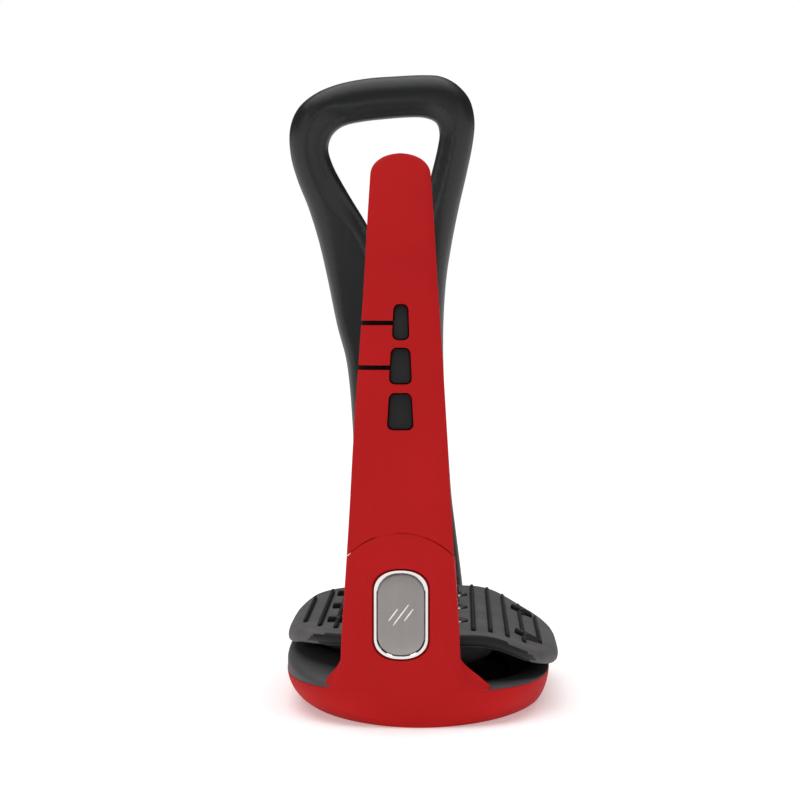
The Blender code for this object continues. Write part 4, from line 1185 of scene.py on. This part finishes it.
@dataclass
class Tread:
    """The ribbed pad with its screws and studs, on the rocker bowl."""

    outline: Outline = (5.0, 35.5, 56.2, 3.3)
    top: tuple[Point2, ...] = (
        (-30.5, 19.0), (-27.5, 20.4), (-25.0, 21.3), (-20.0, 21.8), (-10.0, 22.0), (15.0, 22.0), (20.0, 21.8),
        (24.0, 20.9), (27.5, 19.4), (31.8, 17.3), (35.7, 15.7), (40.5, 13.9),
    )
    edge: float = 3.7
    count: int = 176
    rib_first: float = -25.5
    rib_pitch: float = 4.35
    rib_count: int = 15
    rib_width: float = 1.2
    rib_height: float = 1.15
    rib_inset: float = 5.7
    rib_power: float = 2.9
    screw_radius: float = 4.2
    stud_half: float = 3.0
    painted_shade_facing: float = 0.55
    pad_under: tuple[float, ...] = (15.0, 8.0, 3.4)
    pad_section: tuple[Point2, ...] = (
        (1.3, -3.62), (0.5, -3.3), (0.12, -2.75), (0.0, -2.1), (0.04, -1.5), (0.22, -0.95), (0.6, -0.5),
        (1.15, -0.18), (1.9, -0.02), (2.6, 0.0), (3.1, -0.12), (3.5, -0.22), (4.2, -0.24), (6.0, -0.24),
        (8.0, -0.24), (10.5, -0.24), (13.5, -0.24), (17.0, -0.24), (21.0, -0.24), (25.5, -0.24),
    )
    rib_ends: tuple[Point2, ...] = ((0.0, 0.45), (0.35, 0.85), (0.8, 1.0))
    rib_margin: float = 3.3
    sunk: float = 0.2
    hardware_room: float = 0.9
    screw_rim: float = 0.55
    socket_share: float = 0.46
    arm_half: float = 0.62
    stud_height: float = 1.5
    bowl: tuple[tuple[float, Outline], ...] = (
        (9.4, (2.0, 15.0, 27.0, 2.3)), (9.6, (2.0, 17.5, 30.0, 2.4)), (10.2, (1.8, 19.9, 32.7, 2.4)),
        (11.0, (1.5, 21.5, 34.5, 2.4)), (12.0, (1.2, 22.9, 35.9, 2.45)), (13.0, (1.0, 24.0, 37.0, 2.5)),
        (14.0, (0.8, 24.9, 37.9, 2.5)), (15.0, (0.7, 25.5, 38.5, 2.55)), (15.8, (0.6, 25.9, 38.9, 2.6)),
        (16.0, (0.5, 25.4, 38.4, 2.6)), (16.1, (-1.0, 21.8, 37.8, 2.6)), (17.9, (-1.3, 20.4, 37.5, 2.6)),
    )

    def surface(self, x: float) -> float:
        """The pad's height at X."""
        return between(self.top, x)

    def slope(self, x: float) -> float:
        """The pad's rise along X."""
        return self.surface(x + 0.5) - self.surface(x - 0.5)

    def build(self, bench: Bench) -> None:
        """Makes the pad, the ribs, the screws, the studs and the bowl."""
        self.build_pad(bench)
        screws = self.places("tread_screw")
        studs = self.places("grip_stud")
        self.build_ribs(bench, [*screws, *studs])
        for number, (x, y) in enumerate(screws, 1):
            self.build_screw(bench, number, x, y)
        for number, (x, y) in enumerate(studs, 1):
            self.build_stud(bench, number, x, y)
        rows = [[(x, y, z) for x, y in superellipse(outline, 120)] for z, outline in self.bowl]
        bowl = Shaper().loft(rows).finish("tilting_bowl", 40.0)
        # The bowl takes the lighter grey finish: painted light in place of its black polyamide.
        bench.mount(bowl, Body.TREAD, Slot.POLYAMIDE, ["rocker_bowl"], BOWL_PAINTED_LIGHT_FINISH)

    @staticmethod
    def places(family: str) -> list[Point2]:
        """The middle of each CAD node whose name starts with a family name, in X and Y."""
        found = []
        number = 1
        while f"{family}_{number}" in bpy.data.objects:
            low, high = node_box(f"{family}_{number}")
            found.append(((low.x + high.x) / 2, (low.y + high.y) / 2))
            number += 1
        return found

    def build_pad(self, bench: Bench) -> None:
        """Makes the pad as rings that follow the droop, with a soft border and painted shade on both sides:
        faces that face front or back take the dark rib finish.
        """
        rows = []
        for by, rise in (*((by, -self.edge) for by in self.pad_under), *self.pad_section):
            ring = superellipse(inset(self.outline, by), self.count)
            rows.append([(x, y, self.surface(x) + rise) for x, y in ring])
        pad = Shaper().loft(rows).finish("tread_rubber_pad", 45.0)
        bench.mount(pad, Body.TREAD, Slot.RUBBER, ["tread_pad"])
        pad.data.materials.append(bench.paints.get(RIB_AND_PAINTED_SHADE_FINISH))
        # Painted shade: faces that face front or back are given the dark rib finish.
        for face in pad.data.polygons:
            if abs(face.normal.y) > self.painted_shade_facing:
                face.material_index = 1

    def rib_reach(self, x: float) -> float:
        """Half the length of the rib at X."""
        part = min(abs(x - self.outline[0]) / (self.outline[1] - self.rib_margin), 0.999)
        return (self.outline[2] - self.rib_inset) * (1 - part**self.rib_power) ** (1 / self.rib_power)

    def rib_spans(self, x: float, hardware: Sequence[Point2]) -> list[Point2]:
        """The stretches of the rib at X that are left between screws and studs."""
        reach = self.rib_reach(x)
        spans = [(-reach, reach)]
        for at_x, at_y in hardware:
            apart = abs(at_x - x)
            room = (self.screw_radius if at_x in self.screw_columns else self.stud_half) + self.hardware_room
            if apart < room:
                half = math.sqrt(room**2 - apart**2)
                low, high = at_y - half, at_y + half
                cuts = [piece for a, b in spans for piece in ((a, min(b, low)), (max(a, high), b))]
                spans = [piece for piece in cuts if piece[1] - piece[0] > 1.5]
        return spans

    def build_ribs(self, bench: Bench, hardware: Sequence[Point2]) -> None:
        """Makes every rib as pointed bars with drawn-in ends."""
        self.screw_columns = {x for x, _ in self.places("tread_screw")}
        ribs = Shaper()
        half, tall = self.rib_width / 2, self.rib_height
        heel_side = [(half, -0.6), (half, 0.25), (half * 0.72, tall - 0.22), (half * 0.30, tall)]
        section = [(-half, -0.6), *heel_side, *((-a, b) for a, b in reversed(heel_side[1:]))]
        for number in range(self.rib_count):
            x = self.rib_first + number * self.rib_pitch
            for low, high in self.rib_spans(x, hardware):
                rows = []
                ends = [(low + along, size) for along, size in self.rib_ends]
                ends += [(high - along, size) for along, size in reversed(self.rib_ends)]
                for y, size in ends:
                    rows.append([
                        (x + a * size, y, self.surface(x + a) - self.sunk + b * (size if b > 0 else 1.0))
                        for a, b in section
                    ])
                ribs.loft(rows)
        bench.mount(ribs.finish("tread_ribs", 30.0), Body.TREAD, Slot.RUBBER, finish=RIB_AND_PAINTED_SHADE_FINISH)

    def build_screw(self, bench: Bench, number: int, x: float, y: float) -> None:
        """Makes one round screw head with a hexagonal socket."""
        top = self.surface(x) - self.sunk
        radius, rim = self.screw_radius, self.screw_rim
        section = [(radius, -0.9), (radius, rim - 0.35), (radius - 0.12, rim - 0.12), (radius - 0.4, rim),
                   (radius * 0.75, rim + 0.05), (radius * 0.55, rim + 0.05)]
        rows = []
        for reach, rise in section:
            rows.append([
                (x + reach * math.cos(a), y + reach * math.sin(a), top + rise) for a in self.turn(48)
            ])
        socket = radius * self.socket_share
        for rise in (rim, -0.5):
            ring = []
            for a in self.turn(48):
                flat = math.cos(math.pi / 6) / math.cos((a % (math.pi / 3)) - math.pi / 6)
                ring.append((x + socket * flat * math.cos(a), y + socket * flat * math.sin(a), top + rise))
            rows.append(ring)
        head = Shaper().loft(rows).finish(f"screw_head_{number}", 35.0)
        bench.mount(head, Body.TREAD, Slot.POLISHED, [f"tread_screw_{number}"])

    @staticmethod
    def turn(count: int) -> list[float]:
        """Evenly stepped angles of one turn."""
        return [math.tau * step / count for step in range(count)]

    def build_stud(self, bench: Bench, number: int, x: float, y: float) -> None:
        """Makes one cross-shaped grip stud that follows the pad's slope."""
        arm, half = self.stud_half, self.arm_half
        plus = [(arm, half), (half, half), (half, arm)]
        plus += [(-a, b) for a, b in reversed(plus)]
        plus += [(a, -b) for a, b in reversed(plus)]
        levels = ((1.0, -0.7), (1.0, 0.7), (0.86, self.stud_height))
        stud = Shaper().loft([[(a * size, b * size, z) for a, b in plus] for size, z in levels])
        stud.round_edges(0.16, 2, 30)
        slope, top = self.slope(x), self.surface(x) - self.sunk
        stud.move(lambda at: (at.x + x, at.y + y, top + at.z + slope * at.x))
        bench.mount(stud.finish(f"cross_stud_{number}"), Body.TREAD, Slot.DARK_STEEL, [f"grip_stud_{number}"])


# ---------------------------------------------------------------- studio


@dataclass
class Studio:
    """The pale floor, the sky, the soft lights and the camera."""

    camera_place: Point3 = (0.0143, -0.7475, 0.1093)
    camera_turn: Point3 = (math.radians(90 - 2.434), 0.0, math.radians(1.207))
    lens: float = 126.0
    air_light: float = 0.07
    floor_radius: float = 4000.0
    sky_power: float = 2.6
    sky_from: Point3 = (-0.06, 0.14, 1.0)
    sky_softness: float = math.radians(75)
    lights: tuple[tuple[str, Point3, float, float], ...] = (
        ("front", (0.20, -1.10, 0.45), 0.50, 0.8),
        ("left", (-0.70, -0.60, 0.40), 0.45, 0.9),
        ("right", (0.75, -0.55, 0.35), 0.45, 0.6),
    )
    target: Point3 = (0.0, 0.0, 0.07)

    def build_air(self) -> None:
        """Makes the surrounding air: white behind the stirrup and dimmer as a light."""
        world = bpy.data.worlds.new("studio_air")
        world.use_nodes = True
        nodes, links = world.node_tree.nodes, world.node_tree.links
        light = nodes["Background"]
        light.inputs["Color"].default_value = (1.0, 1.0, 1.0, 1.0)
        light.inputs["Strength"].default_value = self.air_light
        backdrop = nodes.new("ShaderNodeBackground")
        backdrop.inputs["Color"].default_value = (1.0, 1.0, 1.0, 1.0)
        path = nodes.new("ShaderNodeLightPath")
        choice = nodes.new("ShaderNodeMixShader")
        links.new(path.outputs["Is Camera Ray"], choice.inputs["Fac"])
        links.new(light.outputs["Background"], choice.inputs[1])
        links.new(backdrop.outputs["Background"], choice.inputs[2])
        links.new(choice.outputs["Shader"], nodes["World Output"].inputs["Surface"])
        bpy.context.scene.world = world

    def build_sky(self) -> None:
        """Adds the wide soft light from above that whitens the floor."""
        lamp = bpy.data.lights.new("sky", "SUN")
        lamp.energy, lamp.angle = self.sky_power, self.sky_softness
        light = bpy.data.objects.new("sky", lamp)
        light.rotation_euler = (-Vector(self.sky_from)).to_track_quat("-Z", "Y").to_euler()
        bpy.context.scene.collection.objects.link(light)

    def build(self, paints: Paintbox) -> None:
        """Sets up everything round the stirrup."""
        scene = bpy.context.scene
        scene.view_settings.view_transform = "Standard"
        self.build_air()
        floor = Shaper()
        bmesh.ops.create_circle(floor.bm, cap_ends=True, segments=64, radius=self.floor_radius)
        floor_obj = floor.finish("studio_floor")
        floor_obj.data.materials.append(paints.get(FLOOR_FINISH))
        self.build_sky()
        for name, place, size, power in self.lights:
            lamp = bpy.data.lights.new(name, "AREA")
            lamp.size, lamp.energy = size, power
            light = bpy.data.objects.new(name, lamp)
            light.location = place
            light.rotation_euler = (Vector(self.target) - Vector(place)).to_track_quat("-Z", "Y").to_euler()
            scene.collection.objects.link(light)
        camera_data = bpy.data.cameras.new("camera")
        camera_data.lens = self.lens
        camera_data.sensor_width = 36.0
        camera_data.clip_start = 0.01
        camera = bpy.data.objects.new("camera", camera_data)
        camera.location, camera.rotation_euler = self.camera_place, self.camera_turn
        scene.collection.objects.link(camera)
        scene.camera = camera


def main() -> None:
    """Loads the frame, builds each sub-assembly, dresses what is left and lights it."""
    logging.basicConfig(level=logging.INFO, format="%(name)s: %(message)s")
    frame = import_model()
    bench = Bench()
    column = Column()
    cover = BaseCover(column)
    cover.build(bench)
    BaseCasting(column, cover).build(bench)
    OuterBranch(column).build(bench)
    InnerBranch().build(bench)
    Tread().build(bench)
    bench.dress_frame(frame)
    Studio().build(bench.paints)


if __name__ == "__main__":
    main()
